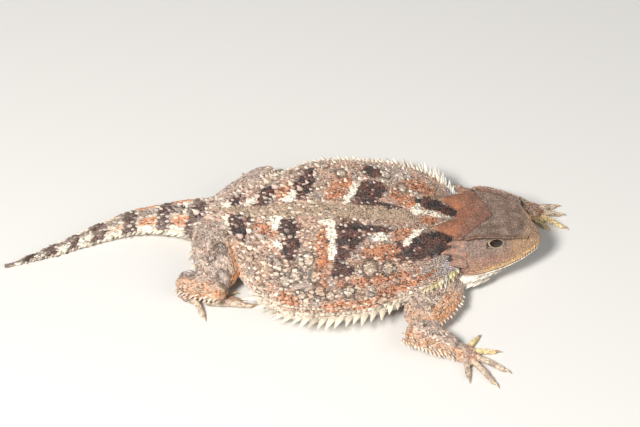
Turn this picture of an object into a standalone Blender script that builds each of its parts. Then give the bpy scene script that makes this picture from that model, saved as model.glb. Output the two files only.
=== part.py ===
"""A life-size short-horned lizard, modelled as solids that meet at its joints.

+X runs towards the head, +Y to the animal's left, +Z up, and the floor is z = 0.
The origin is on the floor under the middle of the belly. Lengths in the tables are in millimetres.
"""
import math

import bmesh
import bpy
import numpy as np
from mathutils import Matrix, Vector

MM = 0.001

# Gap between neighbouring solids, and how far a spine's foot is sunk under the skin.
JOINT_GAP = 0.3 * MM
SPINE_ROOT = 0.55 * MM
SPINE_SIDES = 6
SMALL_SPINE_SIDES = 5

# Trunk, neck and tail: x, y of the midline, half width, height of the widest line, top, underside.
# The rows run from inside the head to the tip of the tail.
TRUNK_STATIONS = np.array([
    (37.5, 0.1, 8.4, 7.8, 11.4, 4.0),
    (34.0, 0.7, 11.4, 8.0, 11.7, 3.0),
    (30.5, 1.4, 15.4, 8.1, 11.8, 1.6),
    (26.5, 2.2, 19.2, 7.7, 12.2, 0.5),
    (20.0, 2.5, 22.8, 6.6, 13.2, -0.4),
    (12.0, 1.7, 25.2, 5.8, 15.4, -0.4),
    (2.0, 1.0, 26.2, 5.6, 17.0, -0.4),
    (-7.0, 0.8, 25.2, 5.6, 16.6, -0.4),
    (-13.0, 1.8, 22.6, 5.6, 15.0, -0.4),
    (-17.0, 3.2, 17.6, 5.6, 13.4, -0.4),
    (-21.5, 5.6, 11.4, 5.5, 11.8, -0.4),
    (-28.0, 8.0, 6.8, 4.6, 9.5, -0.4),
    (-36.0, 9.7, 4.6, 3.4, 7.2, -0.4),
    (-45.0, 9.4, 3.4, 2.5, 5.3, -0.4),
    (-54.0, 6.3, 2.5, 1.9, 4.0, -0.4),
    (-63.0, 2.0, 1.7, 1.3, 2.8, -0.35),
    (-71.0, -1.5, 1.0, 0.9, 1.8, -0.3),
    (-76.5, -3.6, 0.5, 0.6, 1.0, -0.1),
]) * MM
# The body's sections stand across the frame's x, and those of the tail across the tail.
TURN_FROM, TURN_TO = -18.0 * MM, -36.0 * MM
# Powers of the sine that shape a section over its widest line, in the tail and added in the body, and under it.
BACK_POWER, BRIM_POWER, BELLY_POWER = 0.95, 0.5, 0.8
# Station numbers where the neck and the lengths of the tail part.
NECK_START, NECK_CUT = 0.2, 2.75
TAIL_CUTS = (10.6, 13.0, 15.0)
LAST_STATION = len(TRUNK_STATIONS) - 1

# The far knee presses into the left flank.
DENT_DEPTH = 4.2 * MM
DENT_X = -11.5 * MM
DENT_LENGTH = 6.5 * MM

# Head: distance behind the snout tip, crown height, then half width and height of the brow, cheek, lip and
# jaw, and the height of the throat.
HEAD_STATIONS = np.array([
    (0.0, 10.3, 0.8, 10.2, 1.0, 9.6, 1.1, 8.8, 0.8, 8.0, 7.8),
    (1.0, 11.7, 1.7, 11.5, 2.1, 10.4, 2.4, 8.5, 1.9, 7.4, 6.9),
    (3.2, 13.3, 3.3, 13.1, 4.0, 10.9, 4.7, 7.8, 3.9, 6.3, 5.6),
    (6.5, 14.8, 5.7, 14.7, 6.2, 11.3, 7.3, 7.1, 6.7, 5.3, 4.5),
    (10.5, 15.6, 7.3, 15.7, 8.1, 11.4, 9.8, 6.6, 9.8, 4.7, 3.7),
    (14.4, 15.6, 8.0, 15.6, 10.1, 11.4, 11.6, 6.3, 11.8, 4.5, 3.4),
    (17.9, 14.9, 8.8, 14.7, 11.0, 11.2, 12.1, 6.2, 12.0, 4.5, 3.2),
    (20.0, 14.4, 8.6, 13.8, 10.9, 10.8, 11.6, 6.2, 11.4, 4.6, 3.3),
]) * MM
JAW_WIDTH_COLUMN, JAW_HEIGHT_COLUMN = 8, 9
SNOUT = Vector((52.8, -2.9, 0.0)) * MM
HEAD_LENGTH = 20.0 * MM
HEAD_YAW = math.radians(-11.0)
SNOUT_LENGTH = 4.0 * MM
MOUTH_DEPTH = 0.6 * MM
MOUTH_CORNER = 14.9 * MM
MOUTH_FADE = 2.5 * MM
BROW_UNDERCUT = 0.8 * MM

# Eye, nostril and ear as places in head terms: back from the snout, to the side, and over the floor.
EYE_SPOT = np.array((10.2, 5.3, 13.2)) * MM
EYE_RADIUS = 2.15 * MM
LID_THICKNESS = 0.6 * MM
LID_SHAPE = (1.05, 1.0, 0.92)
EYE_OPENING = (1.45 * MM, 2.2 * MM, 1.0 * MM)
OPENING_OUT = 2.7 * MM
NOSTRIL_SPOT = np.array((2.5, 3.1, 12.1)) * MM
NOSTRIL_SIZE = (0.45 * MM, 0.7 * MM, 0.4 * MM)
EAR_SPOT = np.array((17.9, 12.0, 7.6)) * MM
EAR_SIZE = (0.75 * MM, 0.9 * MM, 1.0 * MM)

# Horns of one side: root (back, side, height), tip, half width, half thickness.
HORNS = {
    "horn_occipital": ((17.4, 4.1, 13.3), (25.6, 5.0, 13.4), 3.8, 1.3),
    "horn_temporal_upper": ((17.4, 7.9, 12.3), (21.4, 8.9, 12.7), 1.6, 1.0),
    "horn_temporal_middle": ((17.0, 9.1, 11.1), (22.4, 11.2, 11.8), 1.9, 1.2),
    "horn_temporal_lower": ((16.8, 10.5, 8.9), (21.0, 12.8, 9.4), 1.7, 1.1),
}
# Shares of a horn's length and its girth there.
HORN_PROFILE = ((0.0, 1.0), (0.45, 0.86), (0.75, 0.5), (0.93, 0.2), (1.0, 0.06))
HORN_SIDES = 10

# Pointed scales along each jaw: first place behind the snout, pitch, count, and width, thickness, length.
JAW_SPINES = (5.6 * MM, 1.6 * MM, 7)
JAW_SPINE = (0.62 * MM, 0.42 * MM, 1.35 * MM)

# Fringe of flat spines along each flank: x of the first and last, length, and how much they point down.
FRINGE_RANGE = {"l": (25.15 * MM, -17.5 * MM), "r": (18.55 * MM, -15.5 * MM)}
FRINGE_LENGTH = {"l": 2.5 * MM, "r": 3.2 * MM}
FRINGE_LIFT = {"l": -0.06, "r": -0.2}
FRINGE_PITCH = 1.95 * MM
FRINGE_SPINE = (0.78 * MM, 0.42 * MM)
FRINGE_DEGREES = 2

# Rows of spines on the back: angle round the body, x of the first and last, pitch, size of one spine.
BACK_ROWS = [
    (22, 18.0, -13.0, 5.2, 0.85),
    (38, 20.0, -15.0, 4.9, 1.0),
    (55, 21.0, -19.0, 4.7, 1.15),
    (72, 18.5, -23.0, 4.6, 1.1),
]
BACK_SPINE = (0.72 * MM, 0.5 * MM, 1.45 * MM)

# Rows of spines of the tail: angle, pitch and size. The spines shrink towards the tip.
TAIL_ROWS = [(0, 2.5, 1.0), (38, 3.4, 0.95), (68, 3.4, 0.8)]
TAIL_SPINE = (0.6 * MM, 0.4 * MM, 1.45 * MM)
TAIL_TIP_X, TAIL_THICK_X = -76.0, -30.0
LAST_TAIL_SPINE = -72.0

# Fringe of the neck fold: x of the first and last and pitch, and the size of one spine.
NECK_FRINGE = (33.2 * MM, 28.6 * MM, 1.45 * MM)
NECK_SPINE = (0.5 * MM, 0.3 * MM, 1.8 * MM)

# Limbs: each row is x, y, z, half width and half height of a limb segment.
ARM_RIGHT = {
    "upper_arm_r": [(29.4, -9.0, 3.8, 5.6, 2.8), (27.4, -17.8, 4.4, 5.9, 3.2), (21.6, -25.6, 4.6, 4.5, 3.5)],
    "forearm_r": [(20.6, -26.8, 4.5, 4.1, 3.6), (25.8, -29.4, 4.0, 3.7, 3.2), (32.2, -31.6, 2.6, 2.8, 2.1)],
}
ARM_LEFT = {
    "upper_arm_l": [(29.0, 9.0, 4.0, 4.8, 2.8), (32.0, 15.0, 4.4, 4.4, 3.0), (36.2, 16.4, 4.5, 3.5, 3.1)],
    "forearm_l": [(36.6, 16.4, 4.3, 3.3, 3.1), (43.0, 16.2, 3.6, 3.0, 2.6), (49.6, 14.9, 2.6, 2.5, 2.0)],
}
LEG_RIGHT = {
    "thigh_r": [(-26.0, 4.0, 6.2, 5.2, 4.8), (-25.4, -6.0, 6.8, 5.3, 4.4), (-22.6, -14.2, 4.9, 4.5, 3.7)],
    "shank_r": [(-22.0, -15.0, 4.2, 3.7, 3.4), (-28.0, -13.6, 4.6, 3.5, 3.1), (-34.0, -11.2, 3.6, 3.3, 2.8)],
}
LEG_LEFT = {
    "thigh_l": [(-25.0, 8.2, 6.2, 4.8, 4.4), (-18.0, 15.4, 6.6, 4.4, 4.0), (-10.8, 20.6, 6.2, 4.2, 3.8)],
    "shank_l": [(-10.8, 22.2, 5.0, 3.5, 3.2), (-15.4, 21.6, 4.9, 3.2, 2.9), (-19.8, 18.8, 3.6, 2.7, 2.4)],
}

# Hands and feet: the sole's heel and toe end with half widths and heights, then each digit from its
# base to its tip with its half width.
HAND_RIGHT = {
    "sole": [(31.4, -31.5, 2.0, 2.5, 1.8), (35.4, -32.7, 1.25, 3.2, 1.5)],
    "digits": [
        ((34.2, -30.6), (37.3, -26.4), 0.72),
        ((35.6, -31.3), (41.5, -30.9), 0.72),
        ((36.0, -32.6), (43.4, -36.8), 0.8),
        ((35.4, -33.8), (40.6, -40.8), 0.8),
        ((34.0, -34.0), (34.5, -39.2), 0.78),
    ],
}
HAND_LEFT = {
    "sole": [(50.4, 15.0, 2.0, 2.4, 1.8), (53.8, 13.6, 1.25, 3.0, 1.5)],
    "digits": [
        ((53.4, 11.6), (56.0, 9.2), 0.72),
        ((54.6, 12.6), (60.2, 9.3), 0.75),
        ((54.6, 14.0), (59.8, 13.7), 0.8),
        ((53.8, 15.4), (58.8, 16.6), 0.8),
        ((52.0, 16.2), (49.8, 19.4), 0.75),
    ],
}
FOOT_RIGHT = {
    "sole": [(-34.0, -12.2, 1.7, 2.4, 1.9), (-28.2, -14.4, 1.3, 3.0, 1.4)],
    "digits": [
        ((-26.8, -12.6), (-23.2, -11.4), 0.75),
        ((-26.2, -13.6), (-20.4, -12.6), 0.8),
        ((-26.0, -14.8), (-18.6, -14.6), 0.82),
        ((-26.4, -15.9), (-15.6, -16.6), 0.85),
        ((-29.4, -16.0), (-27.6, -20.2), 0.8),
    ],
}
FOOT_LEFT = {
    "sole": [(-20.2, 20.2, 1.7, 2.3, 1.8), (-16.8, 24.0, 1.3, 2.7, 1.4)],
    "digits": [
        ((-15.6, 23.4), (-13.2, 25.2), 0.72),
        ((-15.4, 24.6), (-11.0, 27.0), 0.78),
        ((-15.6, 25.4), (-10.4, 29.0), 0.8),
        ((-16.6, 25.8), (-13.0, 29.8), 0.8),
        ((-18.8, 25.0), (-19.4, 27.4), 0.76),
    ],
}
# A digit starts under the sole, arches over the floor and ends in a claw.
DIGIT_ROOT = 1.3
DIGIT_START_HEIGHT = 1.1
DIGIT_ARCH = 0.42
CLAW = (0.36 * MM, 1.5 * MM, 0.5 * MM)
CLAW_DROP = -0.22
LIMB_CLEARANCE = 0.7 * MM

# Pointed scales of the limbs: share of the length, angle, size.
# Angle 0 is the side that faces right as one looks along the limb, 90 degrees is up.
LIMB_SPINES = {
    "upper_arm_r": [(0.5, 178, 1.0), (0.59, 182, 1.1), (0.68, 176, 1.1), (0.66, 140, 0.9), (0.56, 70, 0.9)],
    "forearm_r": [(0.24, 2, 1.0), (0.36, 0, 1.1), (0.48, 4, 1.1), (0.6, 0, 1.0), (0.42, 45, 0.9), (0.3, 90, 0.9)],
    "forearm_l": [(0.3, 178, 1.0), (0.45, 180, 1.0), (0.6, 176, 0.9), (0.45, 120, 0.8)],
    "thigh_r": [(0.48, 0, 1.2), (0.6, 4, 1.2), (0.54, 60, 1.0), (0.64, 100, 0.9)],
    "shank_r": [(0.3, 176, 1.0), (0.45, 182, 1.0), (0.6, 178, 0.9), (0.5, 90, 0.8)],
    "thigh_l": [(0.55, 90, 0.9)],
    "shank_l": [(0.35, 4, 0.9), (0.5, 0, 0.9)],
}
LIMB_SPINE = (0.55 * MM, 0.4 * MM, 1.5 * MM)

# The floor's slab: width and depth. It gives every foot and the belly a flat.
FLOOR_WIDTH, FLOOR_DEPTH = 0.4, 0.01

# Colour and roughness of each finish.
SKINS = {
    "hide": ((0.42, 0.30, 0.22), 0.8),
    "head_hide": ((0.35, 0.22, 0.16), 0.75),
    "limb_hide": ((0.46, 0.31, 0.21), 0.8),
    "horn": ((0.42, 0.17, 0.08), 0.5),
    "eye": ((0.02, 0.015, 0.01), 0.1),
}
SHARP_ANGLE = math.radians(40)
SEED = 7


def smooth(at, xs, values):
    """Values of a smooth curve through (xs, values): cubic Hermite with centred slopes."""
    at = np.clip(np.asarray(at, float), xs[0], xs[-1])
    slopes = np.gradient(values, xs, axis=0)
    i = np.clip(np.searchsorted(xs, at, side="right") - 1, 0, len(xs) - 2)
    h = xs[i + 1] - xs[i]
    t = (at - xs[i]) / h
    if values.ndim > 1:
        h, t = h[..., None], t[..., None]
    a = (1 + 2 * t) * (1 - t) ** 2
    b = t * (1 - t) ** 2
    c = t * t * (3 - 2 * t)
    d = t * t * (t - 1)
    return a * values[i] + b * h * slopes[i] + c * values[i + 1] + d * h * slopes[i + 1]


def along_rows(at, rows):
    """Values of a smooth curve through rows that are numbered 0, 1, 2 and so on."""
    rows = np.asarray(rows, float)
    return smooth(at, np.arange(len(rows), dtype=float), rows)


def trunk_at(station):
    """The trunk's midline, sizes and sideways direction at a station number, which may be a fraction."""
    reach = 0.01
    row = along_rows(station, TRUNK_STATIONS)
    along = (along_rows(station - reach, TRUNK_STATIONS) - along_rows(station + reach, TRUNK_STATIONS))[..., :2]
    along = along / np.linalg.norm(along, axis=-1, keepdims=True)
    turn = np.clip((TURN_FROM - row[..., 0]) / (TURN_FROM - TURN_TO), 0, 1)
    left = np.stack([-along[..., 1] * turn, along[..., 0]], axis=-1)
    left = left / np.linalg.norm(left, axis=-1, keepdims=True)
    return row, left


def trunk_point(station, angle):
    """A point of the trunk's skin. Angle 0 is the animal's left edge, 90 degrees the back, 270 the belly.

    Over the widest line the section slopes like a low brim, and under it the section is nearly an ellipse.
    """
    station, angle = np.broadcast_arrays(np.asarray(station, float), np.asarray(angle, float))
    row, left = trunk_at(station)
    x, y, width, edge, top, under = np.moveaxis(row, -1, 0)
    c, s = np.cos(angle), np.sin(angle)
    dent = DENT_DEPTH * np.exp(-((x - DENT_X) / DENT_LENGTH) ** 2) * np.clip(c, 0, 1) ** 2
    side = c * (width - dent)
    brim = BRIM_POWER * np.clip((x - TURN_TO) / (TURN_FROM - TURN_TO), 0, 1)
    over = edge + (top - edge) * np.abs(s) ** (BACK_POWER + brim)
    below = edge - (edge - under) * np.abs(s) ** BELLY_POWER
    z = np.where(s >= 0, over, below)
    return np.stack([x + left[..., 0] * side, y + left[..., 1] * side, z], axis=-1)


def trunk_frame(station, angle):
    """A skin point of the trunk with its outward normal and its backward direction."""
    reach = 0.01
    p = trunk_point(station, angle)
    back = trunk_point(station + reach, angle) - trunk_point(station - reach, angle)
    around = trunk_point(station, angle + reach) - trunk_point(station, angle - reach)
    normal, back = Vector(np.cross(around, back)).normalized(), Vector(back).normalized()
    x, y, _, edge = trunk_at(station)[0][:4]
    if normal.dot(Vector(p) - Vector((x, y, edge * 0.8))) < 0:
        normal.negate()
    return Vector(p), normal, back


def station_at(x):
    """Station number of the trunk's midline at x. It falls as x falls from the neck to the tail."""
    numbers = np.linspace(0, LAST_STATION, 900)
    xs = trunk_at(numbers)[0][:, 0]
    return float(np.interp(-x, -xs, numbers))


def placed(name, mesh):
    """An object of the mesh, linked to the scene."""
    obj = bpy.data.objects.new(name, mesh)
    bpy.context.scene.collection.objects.link(obj)
    return obj


def mesh_object(name, points, faces):
    """An object from points and faces, with its faces pointing outwards."""
    mesh = bpy.data.meshes.new(name)
    mesh.from_pydata([tuple(p) for p in points], [], faces)
    work = bmesh.new()
    work.from_mesh(mesh)
    bmesh.ops.recalc_face_normals(work, faces=work.faces)
    work.to_mesh(mesh)
    work.free()
    return placed(name, mesh)


def copied(obj):
    """A copy of an object with a mesh of its own."""
    return placed(obj.name, obj.data.copy())


def remove(objects):
    """Takes objects out of the scene."""
    for obj in objects:
        bpy.data.objects.remove(obj)


def loft(name, rings):
    """A closed mesh over a stack of closed rings, with a fan of faces at each end."""
    rings = np.asarray(rings)
    count, around = rings.shape[:2]
    points = [*rings.reshape(-1, 3), rings[0].mean(axis=0), rings[-1].mean(axis=0)]
    first, last = len(points) - 2, len(points) - 1
    faces = []
    for i in range(count - 1):
        for j in range(around):
            k = (j + 1) % around
            faces.append((i * around + j, i * around + k, (i + 1) * around + k, (i + 1) * around + j))
    end = (count - 1) * around
    for j in range(around):
        k = (j + 1) % around
        faces.append((first, k, j))
        faces.append((last, end + j, end + k))
    return mesh_object(name, points, faces)


def trunk_length(name, start, stop, rings, around):
    """A length of the trunk between two station numbers."""
    stations = np.linspace(start, stop, rings)
    turn = np.linspace(0, 2 * math.pi, around, endpoint=False)
    return loft(name, trunk_point(stations[:, None], turn[None, :]))


def tube_frame(path, at):
    """Centre, forward, sideways and upward directions of a smooth path, numbered by its points."""
    reach = 0.02
    along = along_rows(at + reach, path) - along_rows(at - reach, path)
    along /= np.linalg.norm(along, axis=-1, keepdims=True)
    side = np.cross(along, (0.0, 0.0, 1.0))
    side /= np.linalg.norm(side, axis=-1, keepdims=True)
    return along_rows(at, path), along, side, np.cross(side, along)


def tube(name, path, widths, heights, around, rings, ends):
    """A limb segment: elliptical rings along a smooth path, closing in a half circle at each end."""
    share = 0.5 - 0.5 * np.cos(np.linspace(0.04, 0.96, rings) * math.pi)
    at = share * (len(path) - 1)
    centre, _, side, up = tube_frame(path, at)
    near = np.clip(at / ends[0], 0, 1)
    far = np.clip((len(path) - 1 - at) / ends[1], 0, 1)
    close = np.sqrt(1 - (1 - near) ** 2) * np.sqrt(1 - (1 - far) ** 2)
    turn = np.linspace(0, 2 * math.pi, around, endpoint=False)
    wide = (along_rows(at, widths) * close)[:, None, None]
    high = (along_rows(at, heights) * close)[:, None, None]
    across = side[:, None] * np.cos(turn)[None, :, None] * wide
    return loft(name, centre[:, None] + across + up[:, None] * np.sin(turn)[None, :, None] * high)


def spine(root, normal, lean, sizes, sides=SPINE_SIDES, sink=SPINE_ROOT):
    """A tapering spine of a width, thickness and length.

    Its elliptical foot is sunk under the skin, and its one tip leans along lean.
    """
    width, thickness, length = sizes
    root, normal, lean = Vector(root), Vector(normal).normalized(), Vector(lean).normalized()
    across = lean.cross(normal)
    if across.length < 1e-6:
        across = normal.orthogonal()
    across.normalize()
    deep = lean.cross(across).normalized()
    points = []
    for i in range(sides):
        turn = 2 * math.pi * (i + 0.5) / sides
        points.append(root - lean * sink + across * math.cos(turn) * width + deep * math.sin(turn) * thickness)
    points.append(root + lean * length)
    faces = [(i, (i + 1) % sides, sides) for i in range(sides)]
    faces.append(tuple(reversed(range(sides))))
    return mesh_object("piece", points, faces)


def ellipsoid(name, centre, radii, around=12, rings=8):
    """An ellipsoid that is turned with the head."""
    mesh = bpy.data.meshes.new(name)
    work = bmesh.new()
    bmesh.ops.create_uvsphere(work, u_segments=around, v_segments=rings, radius=1.0)
    work.to_mesh(mesh)
    work.free()
    turn = Matrix.Rotation(HEAD_YAW, 4, "Z")
    mesh.transform(Matrix.Translation(centre) @ turn @ Matrix.Diagonal((*radii, 1.0)))
    return placed(name, mesh)


def grown(obj, distance):
    """A copy of a mesh object with its surface moved out by distance."""
    copy = copied(obj)
    work = bmesh.new()
    work.from_mesh(copy.data)
    bmesh.ops.remove_doubles(work, verts=work.verts, dist=0.01 * MM)
    work.normal_update()
    moves = []
    for v in work.verts:
        normal = v.normal.copy()
        flattest = min((max(normal.dot(f.normal), 0.5) for f in v.link_faces), default=1.0)
        moves.append(v.co + normal * distance / flattest)
    for v, place in zip(work.verts, moves):
        v.co = place
    work.to_mesh(copy.data)
    work.free()
    return copy


def boolean(obj, others, operation):
    """Joins others to obj, or cuts them from it, in one Boolean that is then applied."""
    if not others:
        return
    tools = bpy.data.collections.new("tools")
    bpy.context.scene.collection.children.link(tools)
    for other in others:
        bpy.context.scene.collection.objects.unlink(other)
        tools.objects.link(other)
    change = obj.modifiers.new("boolean", "BOOLEAN")
    change.operation = operation
    change.operand_type = "COLLECTION"
    change.collection = tools
    change.solver = "EXACT"
    graph = bpy.context.evaluated_depsgraph_get()
    made = bpy.data.meshes.new_from_object(obj.evaluated_get(graph))
    obj.modifiers.clear()
    obj.data = made
    remove(others)
    bpy.data.collections.remove(tools)


def volume_of(verts):
    """Volume that the faces round some vertices enclose."""
    total = 0.0
    for f in {f for v in verts for f in v.link_faces}:
        corners = [v.co for v in f.verts]
        total += corners[0].dot(corners[1].cross(corners[2]))
    return abs(total) / 6


def surfaces_of(work):
    """The vertices of a mesh in groups that edges join."""
    left, groups = set(work.verts), []
    while left:
        seed = left.pop()
        group, reached = {seed}, [seed]
        while reached:
            v = reached.pop()
            for other in [e.other_vert(v) for e in v.link_edges]:
                if other in left:
                    left.discard(other)
                    group.add(other)
                    reached.append(other)
        groups.append(group)
    return groups


def keep_largest(obj):
    """Leaves only the largest closed surface of the mesh, as triangles without slivers."""
    work = bmesh.new()
    work.from_mesh(obj.data)
    bmesh.ops.triangulate(work, faces=work.faces)
    bmesh.ops.dissolve_degenerate(work, edges=work.edges, dist=0.0015 * MM)
    bmesh.ops.triangulate(work, faces=work.faces)
    for group in sorted(surfaces_of(work), key=volume_of, reverse=True)[1:]:
        bmesh.ops.delete(work, geom=list(group), context="VERTS")
    bmesh.ops.recalc_face_normals(work, faces=work.faces)
    work.to_mesh(obj.data)
    work.free()


def floor_slab():
    """A block under the floor, which gives every foot and the belly its flat."""
    mesh = bpy.data.meshes.new("floor_slab")
    work = bmesh.new()
    bmesh.ops.create_cube(work, size=1.0)
    work.to_mesh(mesh)
    work.free()
    size = Matrix.Diagonal((FLOOR_WIDTH, FLOOR_WIDTH, FLOOR_DEPTH, 1))
    mesh.transform(Matrix.Translation((0, 0, -FLOOR_DEPTH / 2)) @ size)
    return placed("floor_slab", mesh)


def skin(name):
    """The material of a finish, made once."""
    made = bpy.data.materials.get(name)
    if made is None:
        colour, roughness = SKINS[name]
        made = bpy.data.materials.new(name)
        made.use_nodes = True
        shader = made.node_tree.nodes["Principled BSDF"]
        shader.inputs["Base Color"].default_value = (*colour, 1)
        shader.inputs["Roughness"].default_value = roughness
        made.diffuse_color = (*colour, 1)
    return made


def finish_node(obj, name, finish, pieces=(), cutters=()):
    """Joins the pieces of one node, cuts away its neighbours and the floor, and gives it its material."""
    boolean(obj, list(pieces), "UNION")
    keep_largest(obj)
    boolean(obj, [*cutters, floor_slab()], "DIFFERENCE")
    keep_largest(obj)
    obj.name = name
    obj.data.name = name
    obj.data.materials.clear()
    obj.data.materials.append(skin(finish))
    obj.data.shade_smooth()
    obj.data.set_sharp_from_angle(angle=SHARP_ANGLE)
    return obj


def head_at(back):
    """The head's row of sizes at a distance behind the snout."""
    return smooth(back, HEAD_STATIONS[:, 0], HEAD_STATIONS)


def head_half_section(back):
    """Half of a head section, from the middle of the crown down the side to the middle of the throat.

    Points are (side, height). The crown dips between the brows, the eye sits under the brow's edge, and the
    mouth is a groove between the lips that fades behind the corner of the mouth.
    """
    (_, crown, brow_w, brow_z, cheek_w, cheek_z, lip_w, lip_z, jaw_w, jaw_z, throat) = head_at(back)
    snout = min(1.0, back / SNOUT_LENGTH)
    undercut = BROW_UNDERCUT * snout
    mouth = MOUTH_DEPTH * float(np.clip((MOUTH_CORNER - back) / MOUTH_FADE, 0, 1)) * (0.4 + 0.6 * snout)
    fall, drop = brow_z - cheek_z, cheek_z - lip_z
    half = [(brow_w * share, crown + (brow_z - crown) * share ** 3) for share in (0.0, 0.25, 0.5, 0.75, 0.92)]
    half += [
        (brow_w, brow_z - 0.25 * MM * snout),
        (brow_w - undercut, brow_z - 0.28 * fall),
        (cheek_w - 0.35 * undercut - 0.3 * (cheek_w - brow_w), brow_z - 0.62 * fall),
        (cheek_w, cheek_z),
        (cheek_w + 0.62 * (lip_w - cheek_w), cheek_z - 0.5 * drop),
        (lip_w, lip_z),
        (lip_w - mouth, lip_z - 0.28 * MM),
        (lip_w - 0.1 * MM, lip_z - 0.62 * MM),
        (jaw_w, jaw_z + 0.3 * (lip_z - jaw_z)),
        (jaw_w - 0.5 * MM * snout, jaw_z),
    ]
    half += [(jaw_w * share, throat + (jaw_z - throat) * share ** 2) for share in (0.72, 0.4)]
    half.append((0.0, throat))
    return half


def head_spot(back, side, height):
    """World position of a head point: back from the snout, side to the animal's left, height over the floor."""
    place = Matrix.Translation(SNOUT) @ Matrix.Rotation(HEAD_YAW + math.pi, 4, "Z")
    return place @ Vector((back, -side, height))


def head_base():
    """The plain head, lofted over its sections from the snout to the nape."""
    backs = np.concatenate([np.array((0.0, 0.35, 1.0, 1.9)) * MM, np.linspace(3.1 * MM, HEAD_LENGTH, 13)])
    rings = []
    for back in backs:
        half = head_half_section(back)
        right = [(-s, z) for s, z in half]
        left = [(s, z) for s, z in half[-2:0:-1]]
        rings.append([tuple(head_spot(back, s, z)) for s, z in right + left])
    return loft("head", np.array(rings))


def build_eye(hand, word):
    """One eyeball, its lids, and the cuts for its socket and the opening between the lids."""
    back, side, height = EYE_SPOT
    centre = head_spot(back, hand * side, height)
    socket = EYE_RADIUS + JOINT_GAP
    ball = ellipsoid("eye_" + word, centre, (EYE_RADIUS,) * 3)
    ball.data.materials.append(skin("eye"))
    ball.data.shade_smooth()
    lids = ellipsoid("piece", centre, [(socket + LID_THICKNESS) * share for share in LID_SHAPE])
    opening = ellipsoid("piece", head_spot(back, hand * (side + OPENING_OUT), height), EYE_OPENING)
    return lids, [ellipsoid("piece", centre, (socket,) * 3), opening]


def head_hole(spot, hand, size):
    """A cut for a nostril or an ear."""
    back, side, height = spot
    return ellipsoid("piece", head_spot(back, hand * side, height), size, 8, 6)


def build_horn(name, foot, point, width, thickness, cutters):
    """A short horn: a flattened cone with a swollen foot and a blunt tip, cut to fit the head."""
    lean = (point - foot).normalized()
    across = lean.cross(Vector((0, 0, 1))).normalized()
    deep = across.cross(lean)
    rings = []
    for share, girth in HORN_PROFILE:
        ring = []
        for i in range(HORN_SIDES):
            turn = 2 * math.pi * i / HORN_SIDES
            rim = across * math.cos(turn) * width + deep * math.sin(turn) * thickness
            ring.append(tuple(foot.lerp(point, share) + rim * girth))
        rings.append(ring)
    return finish_node(loft(name, np.array(rings)), name, "horn", cutters=cutters)


def build_horns(shells):
    """The horns of both sides. Each is cut back from the head, the trunk and the horns before it."""
    horn_shells = []
    for hand, word in ((1, "l"), (-1, "r")):
        for name, (root, tip, width, thickness) in HORNS.items():
            foot = head_spot(root[0] * MM, hand * root[1] * MM, root[2] * MM)
            point = head_spot(tip[0] * MM, hand * tip[1] * MM, tip[2] * MM)
            cutters = [copied(c) for c in [*shells, *horn_shells]]
            horn = build_horn(f"{name}_{word}", foot, point, width * MM, thickness * MM, cutters)
            horn_shells.append(grown(horn, JOINT_GAP))
    remove(horn_shells)


def jaw_spines():
    """Pointed scales along the edge of each lower jaw, larger towards the corner."""
    first, pitch, count = JAW_SPINES
    spines = []
    for hand in (1, -1):
        for i in range(count):
            back = first + pitch * i
            row = head_at(back)
            jaw_w, jaw_z = row[JAW_WIDTH_COLUMN], row[JAW_HEIGHT_COLUMN]
            root = head_spot(back, hand * (jaw_w - 0.35 * MM), jaw_z + 0.25 * MM)
            lean = head_spot(back + 0.9 * MM, hand * (jaw_w + 0.9 * MM), jaw_z - 0.15 * MM) - root
            size = 0.75 + 0.05 * i
            spines.append(spine(root, (0, 0, 1), lean, [v * size for v in JAW_SPINE], SMALL_SPINE_SIDES))
    return spines


def build_head(trunk_shell):
    """The head with its lids, eyes, nostrils, ears, jaw spines and horns. It returns the head's shell."""
    base = head_base()
    shell = grown(base, JOINT_GAP)
    pieces, cuts = jaw_spines(), []
    for hand, word in ((1, "l"), (-1, "r")):
        lids, sockets = build_eye(hand, word)
        pieces.append(lids)
        cuts += sockets
        cuts.append(head_hole(NOSTRIL_SPOT, hand, NOSTRIL_SIZE))
        cuts.append(head_hole(EAR_SPOT, hand, EAR_SIZE))
    build_horns([shell, trunk_shell])
    finish_node(base, "head", "head_hide", pieces, cuts)
    return shell


def limb_segment(name, rows, rings=10, around=12, ends=(0.45, 0.4)):
    """One closed length of a limb from its rows."""
    rows = np.array(rows) * MM
    return tube(name, rows[:, :3], rows[:, 3], rows[:, 4], around, rings, ends)


def limb_spines(rows, places, rng):
    """Pointed scales on a limb. Each place is a share of its length, an angle round it and a size."""
    rows = np.array(rows) * MM
    spines = []
    for share, degrees, size in places:
        at = np.array(share * (len(rows) - 1))
        centre, along, side, up = tube_frame(rows[:, :3], at)
        width, height = along_rows(at, rows[:, 3]), along_rows(at, rows[:, 4])
        turn = math.radians(degrees + rng.uniform(-6, 6))
        root = Vector(centre + side * (math.cos(turn) * width) + up * (math.sin(turn) * height))
        normal = Vector(side * (math.cos(turn) / width) + up * (math.sin(turn) / height)).normalized()
        lean = (normal + Vector(along) * 0.75).normalized()
        size = size * rng.uniform(0.9, 1.1)
        spines.append(spine(root, normal, lean, [v * size for v in LIMB_SPINE], SMALL_SPINE_SIDES))
    return spines


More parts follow.
